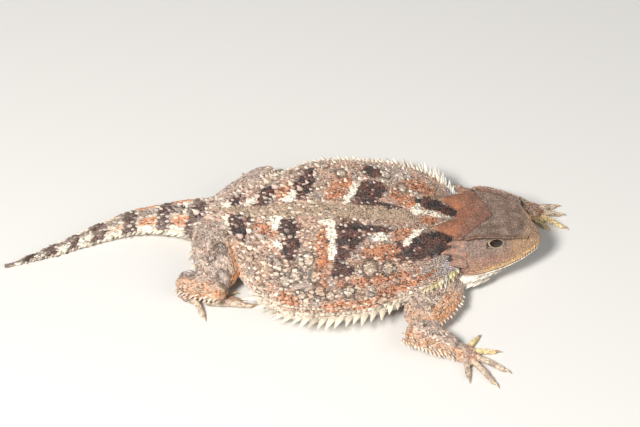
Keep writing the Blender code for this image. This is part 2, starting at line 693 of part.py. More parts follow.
def digit_and_claw(start, stop, width):
    """A digit arched over the floor, and the claw at its tip."""
    start, stop = np.array(start), np.array(stop)
    ahead = (stop - start) / np.linalg.norm(stop - start)
    start = start - ahead * DIGIT_ROOT
    middle = (start + stop) / 2
    path = np.array([
        (*start, DIGIT_START_HEIGHT),
        (*middle, width + DIGIT_ARCH),
        (*stop, width * 0.85 - 0.1),
    ]) * MM
    widths = np.array([width * 1.15, width, width * 0.85]) * MM
    digit = tube("piece", path, widths, widths, 7, 5, ends=(0.25, 0.3))
    tip = Vector((*stop, width + 0.05)) * MM
    girth, length, sink = CLAW
    lean = Vector((*ahead, CLAW_DROP))
    return [digit, spine(tip, (0, 0, 1), lean, (girth, girth, length), SMALL_SPINE_SIDES, sink)]


def build_extremity(name, sizes, cutters):
    """A hand or foot: a flat sole, and five digits with their claws."""
    sole = limb_segment(name, sizes["sole"], rings=7, ends=(0.3, 0.35))
    pieces = []
    for digit in sizes["digits"]:
        pieces += digit_and_claw(*digit)
    finish_node(sole, name, "limb_hide", pieces, cutters)


def build_limb(segments, end_name, end_sizes, body_shells, rng):
    """Two segments and a hand or foot. Each is cut back from the body and from what it hangs on."""
    plain = [limb_segment(name, rows) for name, rows in segments.items()]
    own_shells = [grown(p, JOINT_GAP) for p in plain]
    for number, (name, shape) in enumerate(zip(segments, plain)):
        spines = limb_spines(segments[name], LIMB_SPINES.get(name, []), rng)
        finish_node(shape, name, "limb_hide", spines, [copied(s) for s in body_shells + own_shells[:number]])
    build_extremity(end_name, end_sizes, [copied(s) for s in body_shells + own_shells])
    remove(own_shells)


def clear_of_limbs(root, tip):
    """True where a spine of the trunk stands clear of every limb."""
    for limb in (ARM_RIGHT, ARM_LEFT, LEG_RIGHT, LEG_LEFT):
        for rows in limb.values():
            line = along_rows(np.linspace(0, len(rows) - 1, 25), np.array(rows) * MM)
            reach = np.maximum(line[:, 3], line[:, 4]) + LIMB_CLEARANCE
            for point in (root, root.lerp(tip, 0.5), tip):
                if np.any(np.linalg.norm(line[:, :3] - np.array(point), axis=1) < reach):
                    return False
    return True


def trunk_spine(station, degrees, sizes, rng, back_lean=0.75, lift=0.0):
    """A list of the one spine at a place of the trunk, or an empty list where a limb is too near."""
    size = rng.uniform(0.88, 1.12)
    root, normal, back = trunk_frame(station, math.radians(degrees))
    lean = (normal + back * back_lean * rng.uniform(0.85, 1.15) + Vector((0, 0, lift))).normalized()
    if not clear_of_limbs(root, root + lean * sizes[2] * size):
        return []
    return [spine(root, normal, lean, [v * size for v in sizes])]


def fringe_spines(rng):
    """The flat spines along both flanks."""
    spines = []
    for side, degrees in (("l", FRINGE_DEGREES), ("r", 180 - FRINGE_DEGREES)):
        first, last = FRINGE_RANGE[side]
        for x in np.arange(first, last, -FRINGE_PITCH):
            at = station_at(x + rng.uniform(-0.12, 0.12) * MM)
            sizes = (*FRINGE_SPINE, FRINGE_LENGTH[side])
            spines += trunk_spine(at, degrees, sizes, rng, 0.6, FRINGE_LIFT[side])
    return spines


def back_spines(rng):
    """The raised spines of the back, in rows that are staggered and a little irregular."""
    spines = []
    for mirrored in (False, True):
        for row, (degrees, first, last, pitch, size) in enumerate(BACK_ROWS):
            for i in range(int((first - last) / pitch) + 1):
                x = (first - pitch * (i + 0.5 * (row % 2)) + rng.uniform(-0.6, 0.6)) * MM
                turn = degrees + rng.uniform(-4, 4)
                turn = 180 - turn if mirrored else turn
                spines += trunk_spine(station_at(x), turn, [v * size for v in BACK_SPINE], rng)
    return spines


def tail_spines(first, last, rng):
    """Spines of one length of the tail, between two x in millimetres, smaller towards the tip."""
    spines = []
    for mirrored in (False, True):
        for row, (degrees, pitch, size) in enumerate(TAIL_ROWS):
            for i in range(int((first - last) / pitch)):
                x = first - pitch * (i + 0.25 + 0.4 * (row % 2))
                if x < last + 1.0:
                    continue
                share = float(np.clip((x - TAIL_TIP_X) / (TAIL_THICK_X - TAIL_TIP_X), 0, 1))
                scale = size * (0.45 + 0.6 * share)
                turn = 180 - degrees if mirrored else degrees
                spines += trunk_spine(station_at(x * MM), turn, [v * scale for v in TAIL_SPINE], rng, 0.9)
    return spines


def neck_spines(rng):
    """The short fringe of the fold on each side of the neck."""
    first, last, pitch = NECK_FRINGE
    spines = []
    for degrees in (4, 176):
        for x in np.arange(first, last, -pitch):
            spines += trunk_spine(station_at(x), degrees, NECK_SPINE, rng, 0.8, 0.2)
    return spines


def build_trunk(head_shell, rng):
    """The neck, the torso and three lengths of tail, each with its spines and a gap to the next."""
    cut_x = [trunk_at(float(c))[0][0] / MM for c in TAIL_CUTS]
    first, second, third = TAIL_CUTS
    lengths = {
        "neck": (NECK_START, NECK_CUT - 0.08, 7, 28, neck_spines(rng)),
        "torso": (NECK_CUT, first, 26, 36, fringe_spines(rng) + back_spines(rng)),
        "tail_base": (first + 0.05, second, 9, 16, tail_spines(cut_x[0] - 0.6, cut_x[1] + 1.2, rng)),
        "tail_mid": (second + 0.035, third, 8, 14, tail_spines(cut_x[1] - 0.6, cut_x[2] + 1.0, rng)),
        "tail_tip": (third + 0.04, LAST_STATION, 7, 12, tail_spines(cut_x[2] - 0.6, LAST_TAIL_SPINE, rng)),
    }
    for name, (start, stop, rings, around, spines) in lengths.items():
        cutters = [copied(head_shell)] if name == "neck" else []
        finish_node(trunk_length(name, start, stop, rings, around), name, "hide", spines, cutters)


def main():
    """Builds every node in a scene that it first empties."""
    remove(list(bpy.data.objects))
    rng = np.random.default_rng(SEED)
    trunk = trunk_length("trunk_shell", NECK_START, TAIL_CUTS[1], 44, 36)
    trunk_shell = grown(trunk, JOINT_GAP)
    remove([trunk])
    head_shell = build_head(trunk_shell)
    build_limb(ARM_RIGHT, "hand_r", HAND_RIGHT, [trunk_shell, head_shell], rng)
    build_limb(ARM_LEFT, "hand_l", HAND_LEFT, [trunk_shell, head_shell], rng)
    build_limb(LEG_RIGHT, "foot_r", FOOT_RIGHT, [trunk_shell], rng)
    build_limb(LEG_LEFT, "foot_l", FOOT_LEFT, [trunk_shell], rng)
    remove([trunk_shell])
    build_trunk(head_shell, rng)
    remove([head_shell])


main()
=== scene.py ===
"""A life-size short-horned lizard: its hide, scales, spines, horns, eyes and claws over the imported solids.

+X runs towards the head, +Y to the animal's left, +Z up, and the floor is z = 0, as in the frame.
Shapes are worked out in millimetres as whole numpy arrays, and meshes are filled in metres.
"""
import math

import bpy
import numpy as np
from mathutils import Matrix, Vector


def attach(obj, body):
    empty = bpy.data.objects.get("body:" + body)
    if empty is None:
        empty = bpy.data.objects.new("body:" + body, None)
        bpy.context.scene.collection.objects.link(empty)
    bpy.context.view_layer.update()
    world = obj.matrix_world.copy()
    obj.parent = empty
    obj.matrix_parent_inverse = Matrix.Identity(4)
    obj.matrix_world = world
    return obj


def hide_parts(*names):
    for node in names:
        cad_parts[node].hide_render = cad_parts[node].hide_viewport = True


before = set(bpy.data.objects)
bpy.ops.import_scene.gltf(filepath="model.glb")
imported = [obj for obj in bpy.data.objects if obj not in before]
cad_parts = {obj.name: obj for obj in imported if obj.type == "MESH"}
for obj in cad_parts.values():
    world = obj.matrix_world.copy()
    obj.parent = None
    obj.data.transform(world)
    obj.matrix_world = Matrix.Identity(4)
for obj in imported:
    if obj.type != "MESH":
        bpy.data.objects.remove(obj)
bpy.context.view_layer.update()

MM = 0.001
RNG = np.random.default_rng(11)

# Camera, from the photograph: the frame's origin stands at this pixel of the 640 x 427 picture.
PHOTO_WIDTH, PHOTO_HEIGHT = 640, 427
ORIGIN_PIXEL = (320.0, 257.0)
FOCAL_PIXELS = 2255.0
SENSOR = 36.0
CAMERA_ELEVATION = math.radians(46.0)
CAMERA_DISTANCE = 550.0

# Depth of the scales over the hide, and the edge of the grid that the hide is drawn on.
COAT = 0.28
DIGIT_COAT = 0.12
PATCH = 0.003
HIDE_GRID = 0.38
FLOOR_GAP = 0.1

# Trunk, neck and tail from the head to the tail's tip:
# x, y of the midline, half width, height of the widest line, top, underside.
TRUNK_STATIONS = np.array([
    (37.5, 0.1, 8.4, 7.8, 11.4, 4.0),
    (34.0, 0.7, 11.4, 8.0, 11.7, 3.0),
    (30.5, 1.4, 15.4, 8.1, 11.8, 1.6),
    (26.5, 2.2, 19.2, 7.7, 12.2, 0.5),
    (20.0, 2.5, 22.8, 6.6, 13.2, -0.4),
    (12.0, 1.7, 25.2, 5.8, 15.4, -0.4),
    (2.0, 1.0, 26.2, 5.6, 17.0, -0.4),
    (-7.0, 0.8, 25.2, 5.6, 16.6, -0.4),
    (-13.0, 1.8, 22.6, 5.6, 15.0, -0.4),
    (-17.0, 3.2, 17.6, 5.6, 13.4, -0.4),
    (-21.5, 5.6, 11.4, 5.5, 11.8, -0.4),
    (-28.0, 8.0, 6.8, 4.6, 9.5, -0.4),
    (-36.0, 9.7, 4.6, 3.4, 7.2, -0.4),
    (-45.0, 9.4, 3.4, 2.5, 5.3, -0.4),
    (-54.0, 6.3, 2.5, 1.9, 4.0, -0.4),
    (-63.0, 2.0, 1.7, 1.3, 2.8, -0.35),
    (-71.0, -1.5, 1.0, 0.9, 1.8, -0.3),
    (-76.5, -3.6, 0.5, 0.6, 1.0, -0.1),
])
LAST_STATION = len(TRUNK_STATIONS) - 1
TURN_FROM, TURN_TO = -18.0, -36.0
DENT_DEPTH, DENT_X, DENT_LENGTH = 4.2, -11.5, 6.5
BRIM_POWER = 0.5

# Head: distance behind the snout, crown, half width and height of brow, cheek, lip and jaw, throat.
HEAD_STATIONS = np.array([
    (0.0, 10.3, 0.8, 10.2, 1.0, 9.6, 1.1, 8.8, 0.8, 8.0, 7.8),
    (1.0, 11.7, 1.7, 11.5, 2.1, 10.4, 2.4, 8.5, 1.9, 7.4, 6.9),
    (3.2, 13.3, 3.3, 13.1, 4.0, 10.9, 4.7, 7.8, 3.9, 6.3, 5.6),
    (6.5, 14.8, 5.7, 14.7, 6.2, 11.3, 7.3, 7.1, 6.7, 5.3, 4.5),
    (10.5, 15.6, 7.3, 15.7, 8.1, 11.4, 9.8, 6.6, 9.8, 4.7, 3.7),
    (14.4, 15.6, 8.0, 15.6, 10.1, 11.4, 11.6, 6.3, 11.8, 4.5, 3.4),
    (17.9, 14.9, 8.8, 14.7, 11.0, 11.2, 12.1, 6.2, 12.0, 4.5, 3.2),
    (20.0, 14.4, 8.6, 13.8, 10.9, 10.8, 11.6, 6.2, 11.4, 4.6, 3.3),
])
HEAD_LENGTH = 20.0
SNOUT = np.array([52.8, -2.9, 0.0])
HEAD_TURN = math.radians(180.0 - 11.0)
MOUTH_DEPTH, MOUTH_CORNER = 0.6, 14.9
BROW_UNDERCUT = 0.8

# Eye: its centre behind the snout, to the side and over the floor, and the half sizes of its opening and lids.
EYE_SPOT = (10.2, 5.3, 13.2)
EYE_RADIUS = 2.15
EYE_OPENING = (1.6, 1.42)
LID_REACH = (2.4, 2.0)

# Horns of one side: root (back, side, height), tip, half width, half thickness.
HORNS = {
    "horn_occipital": ((17.4, 4.1, 13.3), (25.6, 5.0, 13.4), 3.8, 1.3),
    "horn_temporal_upper": ((17.4, 7.9, 12.3), (21.4, 8.9, 12.7), 1.6, 1.0),
    "horn_temporal_middle": ((17.0, 9.1, 11.1), (22.4, 11.2, 11.8), 1.9, 1.2),
    "horn_temporal_lower": ((16.8, 10.5, 8.9), (21.0, 12.8, 9.4), 1.7, 1.1),
}

# Limbs from the body outwards: x, y, z, half width and half height of each length, then the sole,
# then each digit's base, tip and half width.
LIMBS = {
    "arm_right": {
        "lengths": [
            [(29.4, -9.0, 3.8, 5.6, 2.8), (27.4, -17.8, 4.4, 5.9, 3.2), (21.6, -25.6, 4.6, 4.5, 3.5)],
            [(20.6, -26.8, 4.5, 4.1, 3.6), (25.8, -29.4, 4.0, 3.7, 3.2), (32.2, -31.6, 2.6, 2.8, 2.1)],
            [(31.4, -31.5, 2.0, 2.5, 1.8), (35.4, -32.7, 1.25, 3.2, 1.5)],
        ],
        "digits": [
            ((34.2, -30.6), (37.3, -26.4), 0.72),
            ((35.6, -31.3), (41.5, -30.9), 0.72),
            ((36.0, -32.6), (43.4, -36.8), 0.8),
            ((35.4, -33.8), (40.6, -40.8), 0.8),
            ((34.0, -34.0), (34.5, -39.2), 0.78),
        ],
        "replaces": ["upper_arm_r", "forearm_r", "hand_r"],
    },
    "arm_left": {
        "lengths": [
            [(29.0, 9.0, 4.0, 4.8, 2.8), (32.0, 15.0, 4.4, 4.4, 3.0), (36.2, 16.4, 4.5, 3.5, 3.1)],
            [(36.6, 16.4, 4.3, 3.3, 3.1), (43.0, 16.2, 3.6, 3.0, 2.6), (49.6, 14.9, 2.6, 2.5, 2.0)],
            [(50.4, 15.0, 2.0, 2.4, 1.8), (53.8, 13.6, 1.25, 3.0, 1.5)],
        ],
        "digits": [
            ((53.4, 11.6), (56.0, 9.2), 0.72),
            ((54.6, 12.6), (60.2, 9.3), 0.75),
            ((54.6, 14.0), (59.8, 13.7), 0.8),
            ((53.8, 15.4), (58.8, 16.6), 0.8),
            ((52.0, 16.2), (49.8, 19.4), 0.75),
        ],
        "replaces": ["upper_arm_l", "forearm_l", "hand_l"],
    },
    "leg_right": {
        "lengths": [
            [(-26.0, 4.0, 6.2, 5.2, 4.8), (-25.4, -6.0, 6.8, 5.3, 4.4), (-22.6, -14.2, 4.9, 4.5, 3.7)],
            [(-22.0, -15.0, 4.2, 3.7, 3.4), (-28.0, -13.6, 4.6, 3.5, 3.1), (-34.0, -11.2, 3.6, 3.3, 2.8)],
            [(-34.0, -12.2, 1.7, 2.4, 1.9), (-28.2, -14.4, 1.3, 3.0, 1.4)],
        ],
        "digits": [
            ((-26.8, -12.6), (-23.2, -11.4), 0.75),
            ((-26.2, -13.6), (-20.4, -12.6), 0.8),
            ((-26.0, -14.8), (-18.6, -14.6), 0.82),
            ((-26.4, -15.9), (-15.6, -16.6), 0.85),
            ((-29.4, -16.0), (-27.6, -20.2), 0.8),
        ],
        "replaces": ["thigh_r", "shank_r", "foot_r"],
    },
    "leg_left": {
        "lengths": [
            [(-25.0, 8.2, 6.2, 4.8, 4.4), (-18.0, 15.4, 6.6, 4.4, 4.0), (-10.8, 20.6, 6.2, 4.2, 3.8)],
            [(-10.8, 22.2, 5.0, 3.5, 3.2), (-15.4, 21.6, 4.9, 3.2, 2.9), (-19.8, 18.8, 3.6, 2.7, 2.4)],
            [(-20.2, 20.2, 1.7, 2.3, 1.8), (-16.8, 24.0, 1.3, 2.7, 1.4)],
        ],
        "digits": [
            ((-15.6, 23.4), (-13.2, 25.2), 0.72),
            ((-15.4, 24.6), (-11.0, 27.0), 0.78),
            ((-15.6, 25.4), (-10.4, 29.0), 0.8),
            ((-16.6, 25.8), (-13.0, 29.8), 0.8),
            ((-18.8, 25.0), (-19.4, 27.4), 0.76),
        ],
        "replaces": ["thigh_l", "shank_l", "foot_l"],
    },
}
DIGIT_ARCH, DIGIT_ROOT = 0.7, 1.3
CLAW_LENGTH = 1.5

# Hide colours as sRGB, 0 to 255.
TAN = (178, 148, 126)
ROSE = (202, 160, 139)
GREY = (160, 146, 137)
ASH = (180, 168, 159)
UMBER = (80, 55, 50)
MAROON = (108, 70, 62)
SLATE = (60, 52, 52)
CREAM = (246, 236, 218)
ORANGE = (196, 124, 86)
BELLY = (216, 202, 182)
CROWN = (124, 102, 89)
CROWN_PALE = (150, 129, 115)
SHIELD = (136, 95, 78)
SHIELD_WARM = (172, 110, 79)
CHEEK = (152, 129, 117)
BLUSH = (184, 138, 117)
MUZZLE = (181, 146, 114)
LIP = (214, 175, 126)
JAW = (232, 222, 208)
LAVENDER = (192, 184, 188)
FOLD_YELLOW = (252, 238, 182)
FOLD_WHITE = (246, 240, 228)
FOLD_PINK = (224, 196, 184)
LIMB = (194, 170, 156)
LIMB_PALE = (222, 204, 186)
BARK = (98, 76, 66)
DIGIT_PALE = (244, 216, 160)
DIGIT_GREY = (214, 192, 168)
DIGIT_DARK = (160, 140, 126)
LID = (156, 142, 124)
LID_RIM = (172, 160, 136)
# Painted shade in the folds under the brow and round the lids.
CREASE_SHADE = (92, 70, 58)

# Markings of the trunk: x, degrees round the body (0 its left edge, 90 the back,
# 180 its right edge), half length, half degrees, and how far x leans for each degree.
DARK_SPOTS = [
    (26.8, 118.5, 7.8, 13.5, 0.20), (31.5, 114.0, 4.0, 12.0, 0.0),
    (7.0, 109.0, 3.4, 10.5, 0.05), (5.2, 121.0, 1.7, 5.0, 0.0), (5.0, 133.0, 2.5, 6.4, 0.0),
    (13.0, 104.5, 4.0, 2.5, -0.2),
    (-7.5, 103.0, 2.6, 8.0, 0.0), (-7.0, 117.0, 2.2, 9.0, 0.0),
    (-20.0, 113.0, 2.4, 13.0, 0.0), (-18.2, 99.0, 1.7, 5.0, -0.1),
    (29.3, 76.0, 5.6, 7.6, 0.0), (12.0, 75.0, 3.3, 11.5, 0.12), (12.8, 50.0, 2.4, 9.5, 0.0),
    (13.5, 86.5, 6.2, 2.9, 0.0), (-3.8, 71.0, 2.6, 14.0, 0.05), (-2.2, 54.0, 1.8, 6.0, 0.0),
    (-13.4, 76.5, 2.3, 10.5, 0.1), (-20.8, 74.0, 1.6, 14.0, 0.05),
]
PALE_SPOTS = [
    (22.0, 110.0, 1.0, 6.6, 0.28), (2.6, 108.0, 0.85, 8.0, 0.0), (1.6, 101.5, 1.4, 1.6, 0.0),
    (2.9, 121.5, 0.9, 3.2, 0.0), (-10.6, 101.0, 1.0, 4.4, 0.1), (-10.2, 115.0, 1.0, 2.8, 0.0),
    (-22.4, 112.5, 0.9, 7.5, 0.0), (7.5, 78.0, 0.85, 11.0, 0.16), (26.5, 86.0, 4.2, 2.5, 0.0),
    (23.4, 85.0, 0.8, 4.2, 0.0), (-7.7, 82.5, 1.5, 2.2, 0.0), (-6.6, 78.0, 0.7, 3.4, 0.0),
    (-16.6, 79.5, 1.1, 4.6, 0.1), (-23.2, 84.0, 1.2, 6.0, 0.0), (14.0, 110.5, 1.7, 2.2, 0.0),
]
ORANGE_SPOTS = [
    (14.8, 121.5, 5.0, 6.0, 0.1), (20.2, 107.5, 2.8, 5.5, 0.25), (26.6, 94.5, 2.2, 3.4, 0.0),
    (4.6, 74.0, 2.4, 11.0, 0.16), (0.9, 115.0, 1.8, 14.0, 0.0), (0.2, 138.0, 1.5, 11.0, 0.0),
    (20.4, 77.0, 3.2, 8.0, -0.15), (-8.6, 75.0, 1.8, 6.6, 0.1), (-12.8, 106.5, 2.6, 4.6, 0.0),
    (-24.8, 118.0, 1.9, 9.0, 0.0), (-7.6, 155.0, 2.6, 5.5, 0.0), (19.0, 152.0, 6.0, 5.5, 0.5),
    (9.0, 161.0, 9.0, 5.0, 0.0), (13.0, 141.0, 9.0, 3.6, 0.2), (24.0, 58.0, 4.0, 8.0, 0.0),
]
ASH_SPOTS = [
    (6.6, 145.5, 2.0, 6.0, 0.0), (-5.0, 138.0, 4.4, 8.0, 0.0), (28.0, 141.0, 3.6, 11.0, 0.0),
    (16.5, 111.0, 4.5, 3.0, -0.2), (9.0, 120.0, 2.0, 6.0, 0.0), (17.0, 45.0, 6.0, 14.0, 0.0),
]
# Dark rings of the flanks, each round a pale middle: x, degrees and radius.
RINGS = [
    (-2.7, 125.0, 1.5), (-0.2, 146.4, 1.5), (6.8, 147.1, 1.7), (11.7, 131.4, 2.0), (-5.7, 135.7, 1.6),
    (16.0, 133.0, 1.7), (2.4, 150.4, 1.3), (-8.1, 140.6, 1.5), (-4.4, 149.7, 1.4), (-10.0, 130.1, 1.5),
    (14.6, 161.3, 1.4), (-1.3, 136.3, 1.4), (5.1, 58.0, 1.6), (-6.0, 47.0, 1.6), (16.0, 52.0, 1.7),
    (10.0, 36.0, 1.5), (-2.0, 35.0, 1.5), (20.0, 66.0, 1.5), (-11.0, 48.0, 1.4), (1.0, 46.0, 1.4),
]
# Grey rings on the near leg: x, y and radius.
LIMB_RINGS = [(-23.7, -6.9, 1.7), (-22.8, -14.0, 1.8), (-31.2, -11.1, 1.9), (-25.9, -9.6, 1.1)]
# Pale bands of the tail: x and half length.
TAIL_BANDS = [(-25.0, 2.2), (-33.3, 2.2), (-41.9, 2.4), (-50.2, 1.9), (-57.2, 1.5), (-62.3, 1.3),
              (-67.8, 1.2), (-72.6, 1.0)]


def step(low, high, x):
    """A soft step: 0 below low, 1 above high, and 3t^2 - 2t^3 between."""
    t = np.clip((x - low) / (high - low), 0, 1)
    return t * t * (3 - 2 * t)


def unit(v):
    """Each vector over its own length."""
    return v / np.maximum(np.linalg.norm(v, axis=-1, keepdims=True), 1e-9)


def waves(points, size, seed, count=28):
    """Soft noise of spread about 1: a sum of sine waves about `size` long that run in random directions."""
    rng = np.random.default_rng(seed)
    runs = unit(rng.normal(size=(3, count)).T).T * (2 * math.pi / (size * rng.uniform(0.7, 1.5, count)))
    return np.sin(points @ runs + rng.uniform(0, 2 * math.pi, count)).sum(-1) * math.sqrt(2 / count)


def smooth(at, xs, values):
    """Values of a smooth curve through (xs, values): cubic Hermite with centred slopes."""
    at = np.clip(np.asarray(at, float), xs[0], xs[-1])
    slopes = np.gradient(values, xs, axis=0)
    i = np.clip(np.searchsorted(xs, at, side="right") - 1, 0, len(xs) - 2)
    h = xs[i + 1] - xs[i]
    t = (at - xs[i]) / h
    spread = (...,) + (None,) * (values.ndim - 1)
    h, t = h[spread], t[spread]
    start = (1 + 2 * t) * (1 - t) ** 2 * values[i] + t * (1 - t) ** 2 * h * slopes[i]
    return start + t * t * (3 - 2 * t) * values[i + 1] + t * t * (t - 1) * h * slopes[i + 1]


def trunk_at(station):
    """The trunk's sizes, and its ahead and left directions, at a station number that may be a fraction."""
    numbers = np.arange(len(TRUNK_STATIONS), dtype=float)
    row = smooth(station, numbers, TRUNK_STATIONS)
    reach = 0.01
    along = unit((smooth(station - reach, numbers, TRUNK_STATIONS)
                  - smooth(station + reach, numbers, TRUNK_STATIONS))[..., :2])
    turn = np.clip((TURN_FROM - row[..., 0]) / (TURN_FROM - TURN_TO), 0, 1)
    left = unit(np.stack([-along[..., 1] * turn, along[..., 0]], axis=-1))
    return row, along, left


def brim_power(x):
    """Power of the sine that lifts the back over the edge: higher in the body, which slopes like a low brim."""
    return 0.95 + BRIM_POWER * np.clip((x - TURN_TO) / (TURN_FROM - TURN_TO), 0, 1)


def trunk_point(station, angle, inset=0.0):
    """A point of the trunk: side is cos(angle) times the half width, height follows a power of sin(angle)."""
    station, angle = np.broadcast_arrays(np.asarray(station, float), np.asarray(angle, float))
    row, _, left = trunk_at(station)
    x, y, width, edge, top, under = np.moveaxis(row, -1, 0)
    inset = np.minimum(inset, width * 0.3)
    c, s = np.cos(angle), np.sin(angle)
    dent = DENT_DEPTH * np.exp(-((x - DENT_X) / DENT_LENGTH) ** 2) * np.clip(c, 0, 1) ** 2
    side = c * (width - inset - dent)
    over = edge + (top - inset - edge) * np.abs(s) ** brim_power(x)
    below = edge - (edge - under) * np.abs(s) ** 0.8
    return np.stack([x + left[..., 0] * side, y + left[..., 1] * side, np.where(s >= 0, over, below)], axis=-1)


def trunk_directions(station, angle):
    """Outward normal and backward direction on the trunk, from small differences of its formula."""
    reach = 0.01
    back = trunk_point(station + reach, angle) - trunk_point(station - reach, angle)
    around = trunk_point(station, angle + reach) - trunk_point(station, angle - reach)
    row = trunk_at(station)[0]
    normal = unit(np.cross(around, back))
    outward = trunk_point(station, angle) - row[..., [0, 1, 3]] * (1, 1, 0.8)
    normal *= np.sign((normal * outward).sum(-1, keepdims=True))
    return normal, unit(back)


def station_at(x):
    """Station number of the trunk's midline at x."""
    numbers = np.linspace(0, LAST_STATION, 900)
    return np.interp(-np.asarray(x, float), -trunk_at(numbers)[0][:, 0], numbers)


def head_sections(backs):
    """Half sections of the head from the middle of the crown to the middle of the throat, as (side, height)."""
    rows = smooth(backs, HEAD_STATIONS[:, 0], HEAD_STATIONS)
    _, crown, brow_w, brow_z, cheek_w, cheek_z, lip_w, lip_z, jaw_w, jaw_z, throat = rows.T
    snout = np.minimum(1.0, backs / 4.0)
    undercut = BROW_UNDERCUT * snout
    mouth = MOUTH_DEPTH * np.clip((MOUTH_CORNER - backs) / 2.5, 0, 1) * (0.4 + 0.6 * snout)
    fall, drop = brow_z - cheek_z, cheek_z - lip_z
    half = [(brow_w * share, crown + (brow_z - crown) * share ** 3) for share in (0.0, 0.25, 0.5, 0.75, 0.92)]
    half += [
        (brow_w, brow_z - 0.25 * snout),
        (brow_w - undercut, brow_z - 0.28 * fall),
        (cheek_w - 0.35 * undercut - 0.3 * (cheek_w - brow_w), brow_z - 0.62 * fall),
        (cheek_w, cheek_z),
        (cheek_w + 0.62 * (lip_w - cheek_w), cheek_z - 0.5 * drop),
        (lip_w, lip_z),
        (lip_w - mouth, lip_z - 0.28),
        (lip_w - 0.1, lip_z - 0.62),
        (jaw_w, jaw_z + 0.3 * (lip_z - jaw_z)),
        (jaw_w - 0.5 * snout, jaw_z),
    ]
    half += [(jaw_w * share, throat + (jaw_z - throat) * share ** 2) for share in (0.72, 0.4)]
    half.append((0 * jaw_w, throat))
    return np.stack([np.stack(np.broadcast_arrays(*p), axis=-1) for p in half], axis=1)


def to_head(points):
    """World points in head terms: back from the snout, side to the animal's left, height over the floor."""
    away = points - SNOUT
    c, s = math.cos(HEAD_TURN), math.sin(HEAD_TURN)
    return np.stack([c * away[..., 0] + s * away[..., 1], s * away[..., 0] - c * away[..., 1],
                     away[..., 2]], axis=-1)


def from_head(back, side, height):
    """World points of head terms."""
    back, side, height = np.broadcast_arrays(*[np.asarray(v, float) for v in (back, side, height)])
    c, s = math.cos(HEAD_TURN), math.sin(HEAD_TURN)
    return np.stack([c * back + s * side, s * back - c * side, height], axis=-1) + SNOUT


def head_direction(back, side, height):
    """A world direction from one in head terms."""
    return unit(from_head(back, side, height) - SNOUT)


def tube_frame(path, at):
    """Centre, forward, sideways and upward directions of a smooth path, numbered by its points."""
    numbers = np.arange(len(path), dtype=float)
    reach = 0.02
    along = unit(smooth(at + reach, numbers, path) - smooth(at - reach, numbers, path))
    side = unit(np.cross(along, (0.0, 0.0, 1.0)))
    return smooth(at, numbers, path), along, side, np.cross(side, along)


def limb_paths(limb, inset, digit_inset):
    """Every length of a limb as (path, half widths, half heights): its segments, its sole, its arched digits."""
    made = []
    for rows in limb["lengths"]:
        rows = np.array(rows)
        made.append((rows[:, :3], rows[:, 3] - inset, rows[:, 4] - inset))
    for start, stop, width in limb["digits"]:
        start, stop = np.array(start), np.array(stop)
        start = start - unit(stop - start) * DIGIT_ROOT
        middle = (start + stop) / 2
        path = np.array([(*start, 1.1), (*middle, width + DIGIT_ARCH * 0.6), (*stop, width * 0.85 - 0.1)])
        girth = np.array([width * 1.15, width, width * 0.85]) - digit_inset
        made.append((path, girth, girth))
    return made


def lofted(rings):
    """A closed mesh over a stack of closed rings, each ring's middle closing an end: (points, triangles)."""
    count, around = rings.shape[:2]
    points = np.concatenate([rings.reshape(-1, 3), rings[:1].mean(axis=1), rings[-1:].mean(axis=1)])
    i, j = np.meshgrid(np.arange(count - 1), np.arange(around), indexing="ij")
    k = (j + 1) % around
    a, b, c, d = i * around + j, i * around + k, (i + 1) * around + k, (i + 1) * around + j
    sides = np.stack([a, b, c, a, c, d], axis=-1).reshape(-1, 3)
    j = np.arange(around)
    k, end = (j + 1) % around, (count - 1) * around
    first = np.stack([k, j, np.full(around, count * around)], axis=-1)
    last = np.stack([end + j, end + k, np.full(around, count * around + 1)], axis=-1)
    return points, np.concatenate([sides, first, last])


def tube(path, widths, heights, around=20, rings=26, ends=(0.45, 0.4)):
    """Elliptical rings along a smooth path, which close in a half circle at each end."""
    numbers = np.arange(len(path), dtype=float)
    at = (0.5 - 0.5 * np.cos(np.linspace(0.02, 0.98, rings) * math.pi)) * (len(path) - 1)
    centre, _, side, up = tube_frame(path, at)
    near, far = np.clip(at / ends[0], 0, 1), np.clip((len(path) - 1 - at) / ends[1], 0, 1)
    close = np.sqrt(1 - (1 - near) ** 2) * np.sqrt(1 - (1 - far) ** 2)
    turn = np.linspace(0, 2 * math.pi, around, endpoint=False)[None, :, None]
    wide = (smooth(at, numbers, widths) * close)[:, None, None]
    high = (smooth(at, numbers, heights) * close)[:, None, None]
    return lofted(centre[:, None] + side[:, None] * np.cos(turn) * wide + up[:, None] * np.sin(turn) * high)


def joined(parts):
    """Several (points, triangles) as one."""
    starts = np.cumsum([0] + [len(p) for p, _ in parts[:-1]])
    return np.concatenate([p for p, _ in parts]), np.concatenate([f + s for (_, f), s in zip(parts, starts)])


def outward(points, faces):
    """The triangles turned so that the closed mesh's volume is positive."""
    a, b, c = points[faces[:, 0]], points[faces[:, 1]], points[faces[:, 2]]
    return faces if (a * np.cross(b, c)).sum() > 0 else faces[:, ::-1]


def mesh_piece(name, points, faces, material=None, is_smooth=True):
    """An object from points in millimetres and triangles or quads."""
    mesh = bpy.data.meshes.new(name)
    sides = faces.shape[1]
    mesh.vertices.add(len(points))
    mesh.vertices.foreach_set("co", (points * MM).astype(np.float32).ravel())
    mesh.loops.add(faces.size)
    mesh.loops.foreach_set("vertex_index", faces.astype(np.int32).ravel())
    mesh.polygons.add(len(faces))
    mesh.polygons.foreach_set("loop_start", np.arange(0, faces.size, sides, dtype=np.int32))
    mesh.update(calc_edges=True)
    mesh.polygons.foreach_set("use_smooth", np.full(len(faces), is_smooth))
    obj = bpy.data.objects.new(name, mesh)
    bpy.context.scene.collection.objects.link(obj)
    if material is not None:
        mesh.materials.append(material)
    return obj


